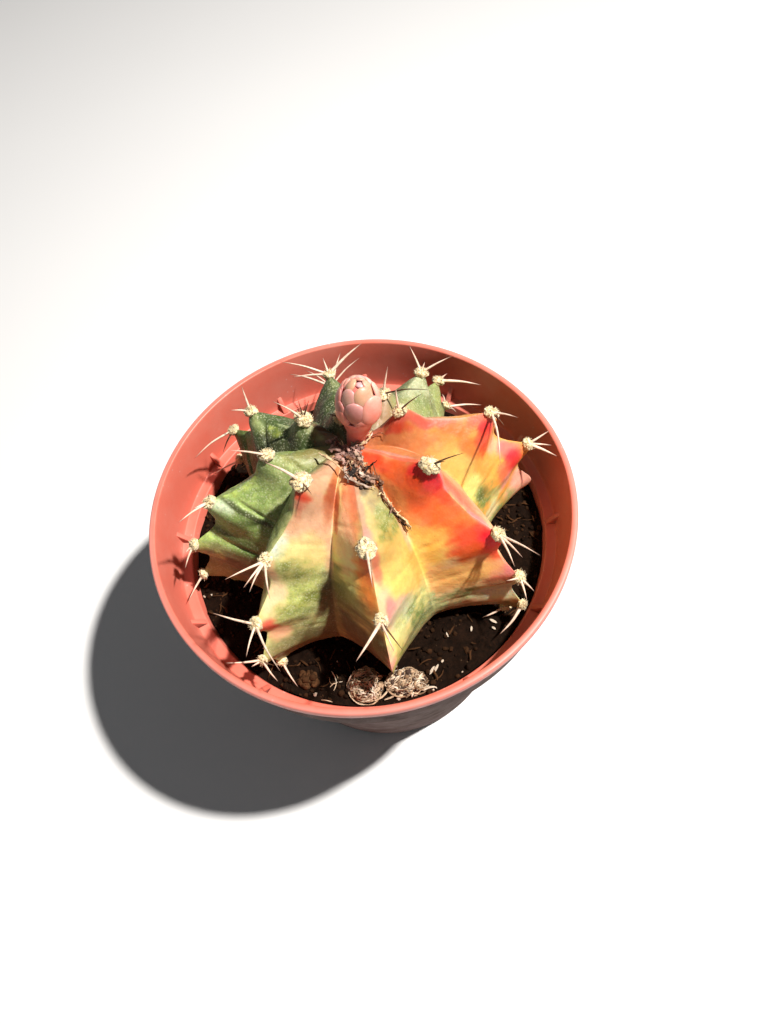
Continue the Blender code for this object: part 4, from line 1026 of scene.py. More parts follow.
def makeWool():
    draws = random.Random(wool["seed"])
    lump = makeLump(4)
    hair = makeBall(3, 5)
    coords = lump["coords"]
    shapes, tones, hairs, hairTones = [], [], [], []
    for areole in areoles:
        axes = np.stack([areole["sideways"], areole["down"], areole["normal"]])
        middle = areole["place"] + areole["normal"] * wool["lift"]
        size = np.array(wool["size"]) * areole["scale"]
        if areole["distance"] > wool["lowFrom"]:
            size = size * wool["lowScale"]
        tufts = [high * noiseAt(coords, scale, draws.uniform(0, 9), octaves) for high, scale, octaves in wool["tufts"]]
        shapes.append((coords * (1 + tufts[0] + tufts[1])[:, None] * size) @ axes + middle)
        tones.append(np.clip(0.5 + 0.9 * noiseAt(coords, 3.0, draws.uniform(0, 9), 2), 0, 1))
        for count in range(wool["hairs"]):
            turn = draws.uniform(0, 2 * math.pi)
            lift = draws.uniform(0.05, 1.0) ** 0.6
            flat = math.sqrt(max(0, 1 - lift * lift))
            local = np.array((flat * math.cos(turn), flat * math.sin(turn), lift))
            root = (local * size * wool["hairSink"]) @ axes + middle
            heading = unit((local + drawThree(draws, -wool["hairSpread"], wool["hairSpread"])) @ axes)
            curl = drawThree(draws, -1, 1)
            length = wool["hairLength"] * draws.uniform(0.5, 1.1)
            bend = root + heading * length * 0.5 + curl * wool["hairCurl"] * length
            tip = root + heading * length * 0.85 + curl * 0.1 * length - local @ axes * 0.25 * length
            radii = np.array((1, 1, 0.5)) * wool["hairRadius"]
            hairs.append(alongPath(hair, [root, bend, tip], radii))
            hairTones.append(draws.uniform(0.3, 1.0))
    domes = stackToned("areoleWool", lump, shapes, tones)
    piece = joinAll([domes, stackToned("hairs", hair, hairs, hairTones)], "areoleWool")
    smoothShade(piece)
    return piece


woolLook = {"tones": ((206, 176, 118), (250, 238, 200)), "specks": (140, 86, 50), "speckShare": 0.7, "sheen": 0.3}


def makeWoolFinish():
    felt = materialNodes("areoleWool", 0.9)
    base = felt.twoTones(felt.attribute("tone"), woolLook["tones"])
    specks = felt.ramp(felt.noise(1500, 3, 0.7), 0.56, 0.66)
    felt.colour(felt.tint(felt.times(specks, woolLook["speckShare"]), base, woolLook["specks"]))
    felt.set("Sheen Weight", woolLook["sheen"])
    felt.normal(felt.bump(felt.noise(2600, 4, 0.7), 0.0002, 0.8))
    return felt.material


areoleWool = makeWool()
finishPiece(areoleWool, makeWoolFinish(), "cactus_skin", "cactus_body")


spine = {
    "segments": 6, "rings": 14, "radius": 0.29, "taper": (1.15, 1.0, 0.86, 0.66, 0.4, 0.1), "seed": 12,
    "length": (8.0, 12.5), "fans": (-105, -50, 0, 50, 105), "fanSpread": 14, "tilt": (28, 58), "bend": 0.05,
    "wallClearance": 1.0, "soilClearance": 0.6, "topLimit": 121, "thickness": {"p": 1.0, "d": 0.7, "t": 1.4},
    # how far and finely a tip is sought along its line of sight, and what lying off the nearest point costs
    "raySpan": 1.3, "raySteps": 53, "farCost": 0.28, "tries": 30, "shorten": 0.95, "flatten": 3,
}
# where the photograph shows spine tips, in its pixels, each pale, dark or thick
tipPixels = {
    ("D", 0): [(272, 401, "p"), (298, 399.5, "d"), (309, 399.6, "d")],
    ("D", 1): [(241.3, 385.4, "p"), (230, 410.2, "p"), (237.5, 408.4, "d")],
    ("D", 2): [(194, 459, "p"), (222.6, 454, "d")],
    ("C", 0): [(227.4, 450.3, "p")],
    ("C", 1): [(178, 523, "p"), (193, 509, "p")],
    ("C", 2): [(185, 569, "p"), (185, 553, "p")],
    ("C", 3): [(188, 601.8, "p")],
    ("B", 0): [(264, 462, "t"), (312, 495, "d")],
    ("B", 1): [(224, 580, "p"), (243, 588.5, "p"), (249, 593, "p"), (269.8, 599.4, "p")],
    ("B", 2): [(211.7, 612.7, "p"), (246, 657.6, "p"), (280.8, 672, "p")],
    ("B", 3): [(225, 663, "p"), (251, 667, "p"), (278.3, 681.8, "p"), (274.7, 665.5, "d")],
    ("B", 4): [(298.3, 687.3, "p")],
    ("A", 0): [(372.8, 588.5, "p")],
    ("A", 1): [(355.5, 662.3, "t"), (394.4, 652.2, "p"), (403.4, 651, "d")],
    ("H", 0): [(464.6, 452.7, "d"), (445.5, 461, "d")],
    ("H", 1): [(541, 556, "p"), (523, 558, "p"), (515, 567.4, "p")],
    ("H", 2): [(534.7, 591.7, "p"), (527, 600.6, "p"), (506, 580.8, "p")],
    ("H", 3): [(499, 635, "t"), (525.8, 605.7, "d")],
    ("G", 0): [(395.6, 386.7, "p"), (422.9, 393, "d")],
    ("G", 1): [(518, 417.6, "p"), (500.3, 464.2, "p"), (504.8, 426, "d")],
    ("G", 2): [(550.7, 429.7, "p"), (552, 445.3, "p"), (557.7, 456.5, "t")],
    ("F", 0): [(387.8, 366, "p"), (431, 390, "d")],
    ("F", 1): [(409, 345, "p"), (424.8, 361.8, "p"), (452, 356, "p")],
    ("F", 2): [(447.3, 373.3, "p"), (481.5, 385, "t")],
    ("E", 0): [(326.4, 413.5, "d")],
    ("E", 1): [(279.5, 361.4, "p"), (292, 377.2, "p"), (322.6, 357.5, "p"), (362.8, 342.2, "t")],
}


def isClear(point):
    # over the soil, inside the pot's wall and inside the frame's box
    x, y, z = point
    if z < soilTop + spine["soilClearance"]:
        return False
    if z < pot["height"] + 1:
        return math.hypot(x, y) < insideRadius(min(z, pot["height"])) - spine["wallClearance"]
    return max(abs(x), abs(y)) < pot["rimRadius"] - 0.3 and z < spine["topLimit"]


def tipAlongRay(root, normal, pixel):
    # where on the pixel's line of sight the tip lies: towards the areole's own outward direction, clear of the pot
    ray = np.array(pixelRay(pixel))
    eye = np.array(camera["place"]) / mm
    nearest = np.dot(root - eye, ray)
    sideStep = eye + ray * nearest - root
    span = np.linalg.norm(sideStep)
    best, bestScore = None, -9
    for share in np.linspace(-spine["raySpan"], spine["raySpan"], spine["raySteps"]):
        tip = eye + ray * (nearest + share * span)
        heading = tip - root
        score = np.dot(heading, normal) / np.linalg.norm(heading) - spine["farCost"] * abs(share)
        if not isClear(tip) or not isClear(root + heading * 0.8):
            score -= 2
        if score > bestScore:
            best, bestScore = tip, score
    return best


def makeSpines():
    draws = random.Random(spine["seed"])
    ball = makeBall(spine["segments"], spine["rings"])
    shapes, tones = [], []

    def addSpine(root, tip, normal, thickness, darkness, bend):
        middle = (root + tip) / 2 + normal * bend * np.linalg.norm(tip - root)
        radii = np.array(spine["taper"]) * thickness
        shapes.append(alongPath(ball, [root, middle, tip], radii))
        tones.append(darkness)

    for areole in areoles:
        place, normal, down, sideways = (areole[k] for k in ("place", "normal", "down", "sideways"))
        seen = tipPixels.get(areole["key"], [])
        for x, y, kind in seen:
            root = place + normal * 0.3
            tip = tipAlongRay(root, normal, (x, y))
            darkness = {"p": draws.uniform(0.0, 0.25), "d": draws.uniform(0.75, 1.0), "t": 0.1}[kind]
            addSpine(root, tip, normal, spine["radius"] * spine["thickness"][kind], darkness,
                     spine["bend"] * draws.uniform(0.4, 1.2))
        fans = () if seen else spine["fans"]
        if areole["distance"] > wool["lowFrom"]:
            fans = fans[1:4]
        for fan in fans:
            turn = math.radians(fan + draws.uniform(-spine["fanSpread"], spine["fanSpread"]))
            tilt = math.radians(draws.uniform(*spine["tilt"]))
            length = draws.uniform(*spine["length"])
            flat = down * math.cos(turn) + sideways * math.sin(turn)
            root = place + flat * 0.5 + normal * 0.2
            for tries in range(spine["tries"]):
                heading = flat * math.cos(tilt) + normal * math.sin(tilt)
                tip = root + heading * length
                if isClear(tip) and isClear(root + heading * length * 0.7):
                    addSpine(root, tip, normal, spine["radius"] * draws.uniform(0.8, 1.15),
                             draws.uniform(0, 0.5) ** 1.5, spine["bend"])
                    break
                # otherwise shorter and flatter, until it is clear
                length *= spine["shorten"]
                tilt -= math.radians(spine["flatten"])
    piece = stackToned("spines", ball, shapes, tones)
    addFloats(piece, "along", np.tile(ball["ring"] / ball["rings"], len(shapes)))
    tidyNormals(piece)
    smoothShade(piece)
    return piece


spineLook = {
    "pale": ((222, 186, 160), (246, 226, 204)), "dark": ((70, 44, 34), (118, 84, 60)), "rosy": (222, 176, 156),
    "tip": (96, 52, 36),
}


def makeSpineFinish():
    horn = materialNodes("spineHorn", 0.45)
    along = horn.attribute("along")
    streak = horn.ramp(horn.noise(900, 3, 0.6), 0.35, 0.65)
    pale, dark = horn.twoTones(streak, spineLook["pale"]), horn.twoTones(streak, spineLook["dark"])
    rosy = horn.tint(horn.ramp(along, 0.3, 0.9, 0, 0.4), pale, spineLook["rosy"])
    tipped = horn.tint(horn.ramp(along, 0.72, 0.98, 0, 0.8), rosy, spineLook["tip"])
    horn.colour(horn.mix(horn.ramp(horn.attribute("tone"), 0.3, 0.8), tipped, dark))
    horn.normal(horn.bump(horn.noise(1800, 2), 0.00005, 0.5))
    return horn.material


spines = makeSpines()
finishPiece(spines, makeSpineFinish(), "cactus_skin", "cactus_body")


bud = {
    "foot": (2.4, 3.85, 34.9), "head": (4.4, 4.9, 49.3), "crown": 4.2, "seat": 0.6, "stemRadius": 2.5,
    "coreRadius": 3.65, "coreTall": 5.9, "swellFrom": 0.28, "swellSpan": 0.4,
    "coreSlim": 0.97, "coreGap": 0.4, "footRound": 0.03, "stemEdge": 0.3,
    # how the scales lie over the head, and from where they run down the stem
    "tipLift": 0.08, "footSink": 0.06, "dome": 0.17, "hollow": 0.08, "layer": 0.035, "hug": 1.08, "midDrop": 0.15,
    "stemFrom": -0.25, "stemSpan": 0.6, "stemHug": 0.99, "apex": (360.8, 384.5), "front": (359.5, 408),
}
budColours = {
    "lilac": (216, 174, 178), "ochre": (210, 162, 124), "tan": (210, 154, 128), "mauve": (206, 146, 142),
    "dusky": (186, 112, 98), "pink": (242, 166, 146), "pale": (244, 186, 166), "salmon": (236, 134, 114),
    "stem": (238, 122, 112),
}
# scales in sight: the pixel of the middle, half width and half height (mm), layer, colours of foot and tip
seenScales = [
    ((360.2, 383.6), 0.95, 1.1, 0, "lilac", "lilac"),
    ((350.2, 385.0), 1.75, 1.5, 1, "ochre", "ochre"), ((368.8, 386.0), 1.5, 1.8, 1, "ochre", "tan"),
    ((359.5, 376.6), 2.1, 1.2, 1, "pink", "mauve"),
    ((348.6, 400.4), 2.2, 1.8, 2, "tan", "mauve"), ((363.6, 398.6), 2.4, 1.85, 3, "ochre", "tan"),
    ((345.4, 379.4), 1.8, 1.4, 2, "pink", "pink"), ((372.6, 379.4), 2.0, 1.6, 2, "pink", "pale"),
    ((355.6, 413.8), 2.5, 1.75, 4, "dusky", "mauve"), ((371.6, 411.8), 3.1, 2.8, 5, "salmon", "pink"),
    # the dusky scales on the head's left side, at pixels 336.6 and 341.5, are painted shade
    ((336.6, 396.5), 2.0, 2.6, 3, "dusky", "dusky"), ((379.8, 393.0), 1.9, 3.0, 4, "salmon", "pale"),
    ((341.5, 414.0), 2.4, 2.7, 4, "dusky", "dusky"),
]
# scales out of sight: turn from the front and tilt from the top (degrees), half sizes, layer, colours
hiddenScales = [
    (180, 30, 1.5, 1.5, 1, "ochre", "tan"), (150, 55, 2.0, 2.1, 2, "pink", "mauve"),
    (-150, 55, 2.0, 2.1, 2, "pink", "tan"),
    (180, 75, 2.2, 2.4, 3, "salmon", "pink"), (125, 80, 2.2, 2.6, 3, "salmon", "mauve"),
    (-125, 80, 2.2, 2.6, 3, "salmon", "pink"), (90, 88, 2.2, 2.6, 4, "salmon", "pink"),
    (-90, 88, 2.2, 2.6, 4, "salmon", "dusky"), (20, 112, 2.6, 3.0, 4, "stem", "salmon"),
    (-50, 114, 2.4, 3.0, 5, "stem", "salmon"), (75, 116, 2.4, 3.0, 5, "stem", "salmon"),
    (145, 112, 2.5, 3.0, 5, "stem", "salmon"), (-150, 114, 2.5, 3.0, 5, "stem", "salmon"),
    (-10, 128, 2.2, 2.6, 6, "stem", "stem"),
]


def makeBud():
    foot, head = (np.array(bud[end]) + np.array((0, 0, soilTop)) for end in ("foot", "head"))
    axis = unit(head - foot)
    length = np.linalg.norm(head - foot) + bud["crown"]
    sideX = unit(np.cross(axis, (0, 1, 0)))
    axes = np.stack([sideX, np.cross(axis, sideX), axis])
    headUp = length - bud["coreTall"] - bud["seat"]
    headCentre = foot + axis * headUp
    radii = np.array((bud["coreRadius"], bud["coreRadius"], bud["coreTall"]))
    neck = headUp / length

    def radiusAt(share):
        # how thick the stem and core are, as a share of the way from the foot to the tip
        swell = np.clip((share - bud["swellFrom"]) / bud["swellSpan"], 0, 1) ** 0.8
        swell = bud["stemRadius"] + (bud["coreRadius"] - bud["stemRadius"]) * swell
        over = np.clip((share - neck) / (1 - neck) * bud["coreTall"] / (bud["coreTall"] - 0.2), 0, 1)
        return np.minimum(swell, bud["coreRadius"] * np.sqrt(1 - over ** 2))

    # the stem and core
    deselectAll()
    bpy.ops.mesh.primitive_uv_sphere_add(segments=40, ring_count=48, radius=1)
    core = takePrimitive("budCore")
    ball = getCoords(core)
    share = np.arccos(np.clip(-ball[:, 2], -1, 1)) / np.pi
    radius = radiusAt(share) * np.clip(share / bud["footRound"], 0, 1) * bud["coreSlim"]
    coords = np.column_stack([spokesOf(ball) * radius[:, None], share * (length - bud["coreGap"])]) @ axes + foot
    setCoords(core, coords * mm)
    addFloats(core, "edge", np.full(len(share), bud["stemEdge"]))
    addColours(core, "paint", np.tile(toLinear(budColours["stem"]), (len(share), 1)))

    # overlapping puffy scales that hug the head, the outer ones lying over the inner ones
    def headDirection(pixel):
        ray = axes @ np.array(pixelRay(pixel)) / radii / bud["hug"]
        eye = axes @ (np.array(camera["place"]) / mm - headCentre) / radii / bud["hug"]
        a, b, c = ray @ ray, ray @ eye, eye @ eye - 1
        return unit(eye + ray * (-b - math.sqrt(max(0.0, b * b - a * c))) / a)

    apex = headDirection(bud["apex"])
    front = headDirection(bud["front"])
    front = unit(front - apex * (front @ apex))
    around = np.cross(apex, front)
    deselectAll()
    bpy.ops.mesh.primitive_uv_sphere_add(segments=28, ring_count=20, radius=1)
    lens = takePattern()
    scales = [(headDirection(pixel), *rest) for pixel, *rest in seenScales]
    for turn, tilt, *rest in hiddenScales:
        turn, tilt = math.radians(turn), math.radians(tilt)
        flatWay = front * math.cos(turn) + around * math.sin(turn)
        scales.append((apex * math.cos(tilt) + flatWay * math.sin(tilt), *rest))
    shapes, edge, paint = [], [], []
    for direction, width, tall, layer, footColour, tipColour in scales:
        up = apex - direction * (apex @ direction)
        if np.linalg.norm(up) < 0.05:
            up = np.cross(direction, around)
        up = unit(up)
        across = np.cross(up, direction)
        x, y, z = lens["coords"].T
        tipward = (y + 1) / 2
        x = x * (width / bud["coreRadius"]) * (0.8 + 0.2 * np.sin(np.pi * np.clip(0.05 + 0.75 * tipward, 0, 1)))
        y = (y - bud["midDrop"]) * (tall / bud["coreRadius"])
        way = unit(direction + across * x[:, None] + up * y[:, None])
        level = bud["layer"] * layer + bud["tipLift"] * tipward ** 1.5 - bud["footSink"] * (1 - tipward)
        shell = 1 + level + np.where(z > 0, bud["dome"] * (width / 2) * z ** 0.9, bud["hollow"] * z)
        local = way * shell[:, None] * radii
        # under the head the scales run down the stem
        below = np.clip((bud["stemFrom"] * radii[2] - local[:, 2]) / (bud["stemSpan"] * radii[2]), 0, 1)
        flatLength = np.hypot(local[:, 0], local[:, 1])
        stemRadius = radiusAt(neck + local[:, 2] / length)
        stemRadius = stemRadius * (bud["stemHug"] + 0.06 * np.clip(z, 0, 1) + 0.3 * level)
        wanted = flatLength + (stemRadius - flatLength) * below
        local[:, :2] *= (wanted / np.maximum(flatLength, 0.01))[:, None]
        shapes.append(local @ axes + headCentre)
        edge.append(np.clip(1 - np.abs(z) ** 0.8, 0, 1) * (z > -0.3))
        first, last = toLinear(budColours[footColour]), toLinear(budColours[tipColour])
        paint.append(first + (last - first) * np.clip(tipward * 1.9 - 0.85, 0, 1)[:, None])
    scales = stackCopies("scales", lens, shapes)
    addFloats(scales, "edge", np.concatenate(edge))
    addColours(scales, "paint", np.concatenate(paint))
    piece = joinAll([core, scales], "budScales")
    tidyNormals(piece)
    smoothShade(piece)
    return piece


# the last colour is painted shade in the seams where the scales overlap
budLook = {"bloom": (250, 214, 196), "blush": (206, 112, 104), "rim": (182, 116, 126), "seamShade": (128, 66, 66)}


def makeBudFinish():
    waxy = materialNodes("budScales", 0.42)
    edge, paint = waxy.attribute("edge"), waxy.attribute("paint", "Color")
    bloom = waxy.tint(waxy.ramp(waxy.noise(420, 4, 0.6), 0.4, 0.7, 0, 0.2), paint, budLook["bloom"])
    blush = waxy.tint(waxy.ramp(waxy.noise(260, 3), 0.45, 0.7, 0, 0.22), bloom, budLook["blush"])
    # darker scale edges: a mauve rim on each scale, then painted shade in the seams where the scales overlap
    rim = waxy.tint(waxy.ramp(edge, 0.55, 0.9, 0, 0.5), blush, budLook["rim"])
    waxy.colour(waxy.tint(waxy.ramp(edge, 0.93, 1.0, 0, 0.6), rim, budLook["seamShade"]))
    waxy.roughness(waxy.ramp(waxy.noise(400, 3), 0.3, 0.7, 0.34, 0.5))
    waxy.set("Subsurface Weight", 0.12)
    waxy.set("Subsurface Radius", (1.0, 0.4, 0.25))
    waxy.set("Subsurface Scale", 0.0012)
    waxy.normal(waxy.bump(waxy.noise(1100, 3, 0.6), 0.00008, 0.5))
    return waxy.material


budScales = makeBud()
finishPiece(budScales, makeBudFinish(), "bud_scale", "flower_bud")


remains = {
    "seed": 21, "gnarl": 1.5, "gnarlScale": 1.5, "gnarlSeeds": (61, 62, 63),
    # scraps and fibres strewn over the patch: how many, between which pixels, and their sizes
    "scraps": 44, "scrapArea": ((330, 374), (440, 486)), "scrapSize": (2, 5), "scrapWidth": (0.12, 0.42),
    "scrapBand": ((336, 446), 0.9, 11), "fibres": 24, "fibreArea": ((343, 363), (444, 480)), "fibreStep": 4,
    "fibreRadii": (0.06, 0.09, 0.08, 0.03), "twigBits": 26, "bitRadii": (0.16, 0.13, 0.05),
    # how far each differs from its neighbours: heights over the skin (mm), lengths and shades
    "liftChange": (0.8, 1.2), "shadeChange": (0.86, 1.1), "scrapLift": (0.2, 1.6), "scrapBow": 1.5,
    "fibreLift": (0.3, 1.9), "bitLift": 0.7, "bitLength": (0.9, 1.8),
    "scrapColours": ("mauve", "brown", "grey", "dusk", "wood", "straw"),
    "fibreColours": ("straw", "brown", "rust", "grey"), "bitColours": ("straw", "brown", "dark", "wood"),
}
huskColours = {
    "straw": (238, 208, 162), "bark": (226, 206, 188), "wood": (158, 124, 104), "grey": (176, 152, 134),
    "brown": (124, 82, 58), "mauve": (186, 146, 134), "dusk": (122, 90, 84), "rust": (168, 96, 58),
    "dark": (56, 34, 26), "black": (34, 20, 14), "ash": (196, 174, 158),
}
twigPixels = [(377.4, 481.5), (381, 488.6), (383, 496), (386.4, 502), (392.8, 509.6), (399, 517.8), (405.6, 525)]
# strips on the skin: pixels they run through, height over the skin (mm), half width, flatness, colour
huskStrips = [
    # the rim of the hollow, with the pale bark below it
    ([(345.4, 464), (346, 471), (348, 477.5), (354.4, 481.8), (361.6, 484.6), (368.9, 486.8), (376.2, 488.2)],
     0.8, 0.42, 0.4, "ash"),
    ([(345.2, 466), (348, 462.5), (353, 463), (357.5, 466)], 1.2, 0.34, 0.6, "wood"),
    ([(354.5, 463.5), (358.5, 468), (361, 473.5)], 1.4, 0.3, 0.6, "grey"),
    ([(360, 471), (361.6, 473.5), (361.8, 476.5)], 1.4, 0.3, 0.8, "bark"),
    ([(357, 462), (361.5, 464.5), (363, 469)], 1.2, 0.34, 0.7, "brown"),
    # the woody block on its right, over a black strip of painted shade in the gap beneath it
    ([(361.5, 479.6), (366.5, 481.8), (372, 484)], 0.75, 0.36, 0.7, "black"),
    ([(361.8, 476.2), (367, 478.4), (373.2, 481.8)], 1.1, 0.4, 0.5, "wood"),
    ([(362.6, 474.2), (368.4, 475.8), (374.4, 479.8)], 1.2, 0.34, 0.5, "grey"),
    ([(363.4, 472.6), (369, 473.4), (375.4, 477.4)], 1.1, 0.28, 0.6, "brown"),
    ([(371.4, 475.2), (377, 478.6), (381.6, 482.6)], 1.0, 0.4, 0.6, "brown"),
    ([(372.6, 463.5), (375.5, 471), (379, 478), (381.8, 483.5)], 0.9, 0.14, 1.0, "rust"),
    # shrivelled leafy bits on the left
    ([(329.5, 441.5), (334, 445.5), (338.5, 451)], 0.8, 0.95, 0.3, "mauve"),
    ([(333.5, 437.5), (336.5, 442.5), (339.5, 449)], 1.2, 0.6, 0.35, "mauve"),
    ([(338, 448.5), (343, 452.5), (348, 455.5)], 0.9, 0.7, 0.35, "dusk"),
    ([(340, 452), (346.5, 455), (353, 453.5)], 1.1, 0.4, 0.4, "mauve"),
    ([(336, 455.5), (341, 458.5), (346, 462.5)], 0.7, 0.5, 0.4, "mauve"),
    ([(347, 456), (351.5, 459.5), (355, 464)], 1.2, 0.36, 0.5, "brown"),
    ([(350.5, 447.5), (356, 452.5), (360.5, 459.5), (362.8, 466)], 0.8, 0.4, 0.7, "grey"),
    # straw fibres round the bud's foot
    ([(349.5, 441.5), (353.5, 443.6), (360, 444.6), (366, 441), (371.5, 434.5)], 0.3, 0.26, 0.8, "straw"),
    ([(350, 443.5), (356, 446), (363, 445), (368.5, 440), (372.5, 432.5)], 0.3, 0.16, 1.0, "bark"),
    ([(351.5, 443.5), (357, 441.8), (363.5, 442.4), (370, 436.5)], 0.25, 0.14, 1.0, "grey"),
    # a heap of shrivelled bits in front of the bud
    ([(339, 447), (344.5, 448.5), (350, 446.5)], 1.2, 0.6, 0.5, "mauve"),
    ([(346, 449.5), (352.5, 449), (358.5, 447)], 1.3, 0.6, 0.5, "mauve"),
    ([(343.5, 452.5), (349, 451.5), (354.5, 452.5)], 1.0, 0.5, 0.5, "dusk"),
    ([(352.5, 452.5), (357, 451), (361.5, 453)], 0.9, 0.34, 0.5, "mauve"),
    ([(368, 441.5), (372, 436), (378.5, 432.8), (383, 433.6), (387, 437)], 0.7, 0.11, 1.0, "rust"),
    ([(366, 436.5), (369.5, 434), (371.5, 430)], 0.9, 0.16, 1.0, "straw"),
    # thin old spines on the left
    ([(316.8, 451.8), (330, 459), (344.3, 471.2)], 1.4, 0.2, 1.0, "straw"),
    ([(326.5, 457.5), (336, 459.3), (345, 461.5)], 1.2, 0.14, 1.0, "grey"),
    # the twig: a dark strand, a straw-coloured one, and its split end
    (twigPixels, 0.6, 0.32, 0.9, "brown"),
    ([(378.4, 480), (382.4, 487.8), (384.4, 495), (388, 500.6), (394.2, 507.8)], 0.8, 0.24, 0.9, "straw"),
    ([(392.5, 506.8), (399.6, 515), (406.8, 522.6), (412.8, 530.8)], 0.85, 0.34, 0.7, "straw"),
    ([(398, 514.8), (404.4, 522.6), (409.4, 529.8)], 0.6, 0.2, 0.8, "wood"),
    ([(388, 504), (396, 515), (403, 524), (407, 530)], 0.35, 0.2, 0.8, "dark"),
]
blackSpine = {
    "pixels": [(361.6, 476.5), (368.5, 467.5), (378, 459.3)], "lifts": (0.9, 2.2, 3.6), "radii": (0.2, 0.2, 0.04),
}
# lumps: pixel, height over the skin, half sizes, colour
huskLumps = [
    # the black lumps fill the hollow, and the dark lump at 365, 478 the gap under the woody block, as painted shade
    ((353.8, 471), 0.4, (1.7, 1.3, 0.7), "black"), ((358.5, 465.5), 0.5, (0.8, 0.6, 0.5), "black"),
    ((365, 478), 0.2, (1.6, 1.2, 0.7), "dark"), ((350, 457), 0.2, (1.6, 1.3, 0.6), "dusk"),
    ((357, 449), 0.2, (1.7, 1.0, 0.6), "dusk"), ((361.8, 474.5), 1.2, (0.5, 0.5, 0.4), "bark"),
    ((381.5, 483), 0.8, (0.6, 0.5, 0.5), "brown"), ((341, 453), 0.3, (1.4, 1.0, 0.5), "mauve"),
    ((336, 447), 0.4, (1.2, 1.0, 0.5), "dusk"), ((361, 487.5), 0.2, (0.4, 0.5, 0.3), "dark"),
]


def makeRemains():
    draws = random.Random(remains["seed"])
    ball = makeBall(8, 14)
    shapes, tints = [], []

    def addStrip(points, radii, flat, colour):
        shape = alongPath(ball, points, radii, flat)
        gnarl = [noiseAt(shape, remains["gnarlScale"], seed, 2) for seed in remains["gnarlSeeds"]]
        shapes.append(shape + remains["gnarl"] * max(radii) * np.stack(gnarl, axis=1))
        shade = draws.uniform(*remains["shadeChange"])
        tints.append(np.clip(np.array(huskColours[colour], float) * shade, 0, 255))

    for pixels, lift, width, flat, colour in huskStrips:
        lifts = [lift * draws.uniform(*remains["liftChange"]) for pixel in pixels]
        points = [onPiece((cactusSkin, budScales), pixel, high) for pixel, high in zip(pixels, lifts)]
        radii = [width * 0.5, width, width * draws.uniform(0.8, 1.1), width * 0.9, width * 0.35]
        addStrip(points, radii, flat, colour)
    points = [onPiece(cactusSkin, pixel, lift) for pixel, lift in zip(blackSpine["pixels"], blackSpine["lifts"])]
    addStrip(points, blackSpine["radii"], 1.0, "black")

    (middleX, middleY), slope, reach = remains["scrapBand"]
    for index in range(remains["scraps"]):
        x, y = (draws.uniform(*span) for span in remains["scrapArea"])
        if abs((x - middleX) * slope - (y - middleY)) > reach:
            continue
        turn = draws.uniform(0, 2 * math.pi)
        size = draws.uniform(*remains["scrapSize"])
        alongX, alongY = math.cos(turn) * size, math.sin(turn) * size
        bow = draws.uniform(-remains["scrapBow"], remains["scrapBow"])
        ends = [(x - alongX, y - alongY), (x, y + bow), (x + alongX, y + alongY)]
        points = [onPiece(cactusSkin, pixel, draws.uniform(*remains["scrapLift"])) for pixel in ends]
        width = draws.uniform(*remains["scrapWidth"])
        addStrip(points, [width * 0.4, width, width * 0.3], draws.uniform(0.25, 0.8),
                 draws.choice(remains["scrapColours"]))
    step = remains["fibreStep"]
    for index in range(remains["fibres"]):
        ends = [tuple(draws.uniform(*span) for span in remains["fibreArea"])]
        for k in range(3):
            ends.append((ends[-1][0] + draws.uniform(-step, step), ends[-1][1] + draws.uniform(-step, step)))
        points = [onPiece(cactusSkin, pixel, draws.uniform(*remains["fibreLift"])) for pixel in ends]
        addStrip(points, remains["fibreRadii"], 1.0, draws.choice(remains["fibreColours"]))
    twig = smoothPath(twigPixels, 60)
    for index in range(remains["twigBits"]):
        start = onPiece(cactusSkin, twig[int(draws.uniform(0, len(twig) - 1))], remains["bitLift"])
        heading = np.array([draws.uniform(-0.8, 0.8), draws.uniform(-0.8, 0.8), draws.uniform(-0.1, 0.5)])
        points = [start, start + heading * 0.6, start + heading * draws.uniform(*remains["bitLength"])]
        addStrip(points, remains["bitRadii"], 0.7, draws.choice(remains["bitColours"]))
    strips = stackPainted("driedRemains", ball, shapes, tints)

    lump = makeLump(3)
    lumps = [
        lumpy(lump["coords"], 0.3, 1.9, draws, 50, 3) * np.array(size) + onPiece(cactusSkin, pixel, lift)
        for pixel, lift, size, colour in huskLumps
    ]
    lumpTints = [huskColours[colour] for *rest, colour in huskLumps]
    piece = joinAll([strips, stackPainted("huskLumps", lump, lumps, lumpTints)], "driedRemains")
    tidyNormals(piece)
    smoothShade(piece)
    return piece


huskLook = {
    "grainScale": 1300, "detail": 5, "stretch": (1, 0.4, 1), "clear": 0.34, "shadeShare": 0.75,
    "shade": (0.42, 0.3, 0.22), "flecks": (240, 214, 180), "fleckScale": 2200, "fleckShare": 0.35,
}


def makeFibreFinish(name, look):
    # painted dry fibres, darker in the grain, with pale flecks on the husks
    fibre = materialNodes(name, 0.85)
    grain = fibre.noise(look["grainScale"], look["detail"], 0.7, look["stretch"])
    shades = fibre.ramp(grain, look["clear"], 0.62, look["shadeShare"], 0)
    base = fibre.mix(shades, fibre.attribute("paint", "Color"), look["shade"], "MULTIPLY")
    if look["flecks"]:
        flecks = fibre.ramp(fibre.noise(look["fleckScale"], 2), 0.6, 0.75, 0, look["fleckShare"])
        base = fibre.tint(flecks, base, look["flecks"])
    fibre.colour(base)
    fibre.normal(fibre.bump(grain, 0.0003, 0.8))
    return fibre.material


driedRemains = makeRemains()
finishPiece(driedRemains, makeFibreFinish("dryHusk", huskLook), "dry_husk", "dried_flower_remains")


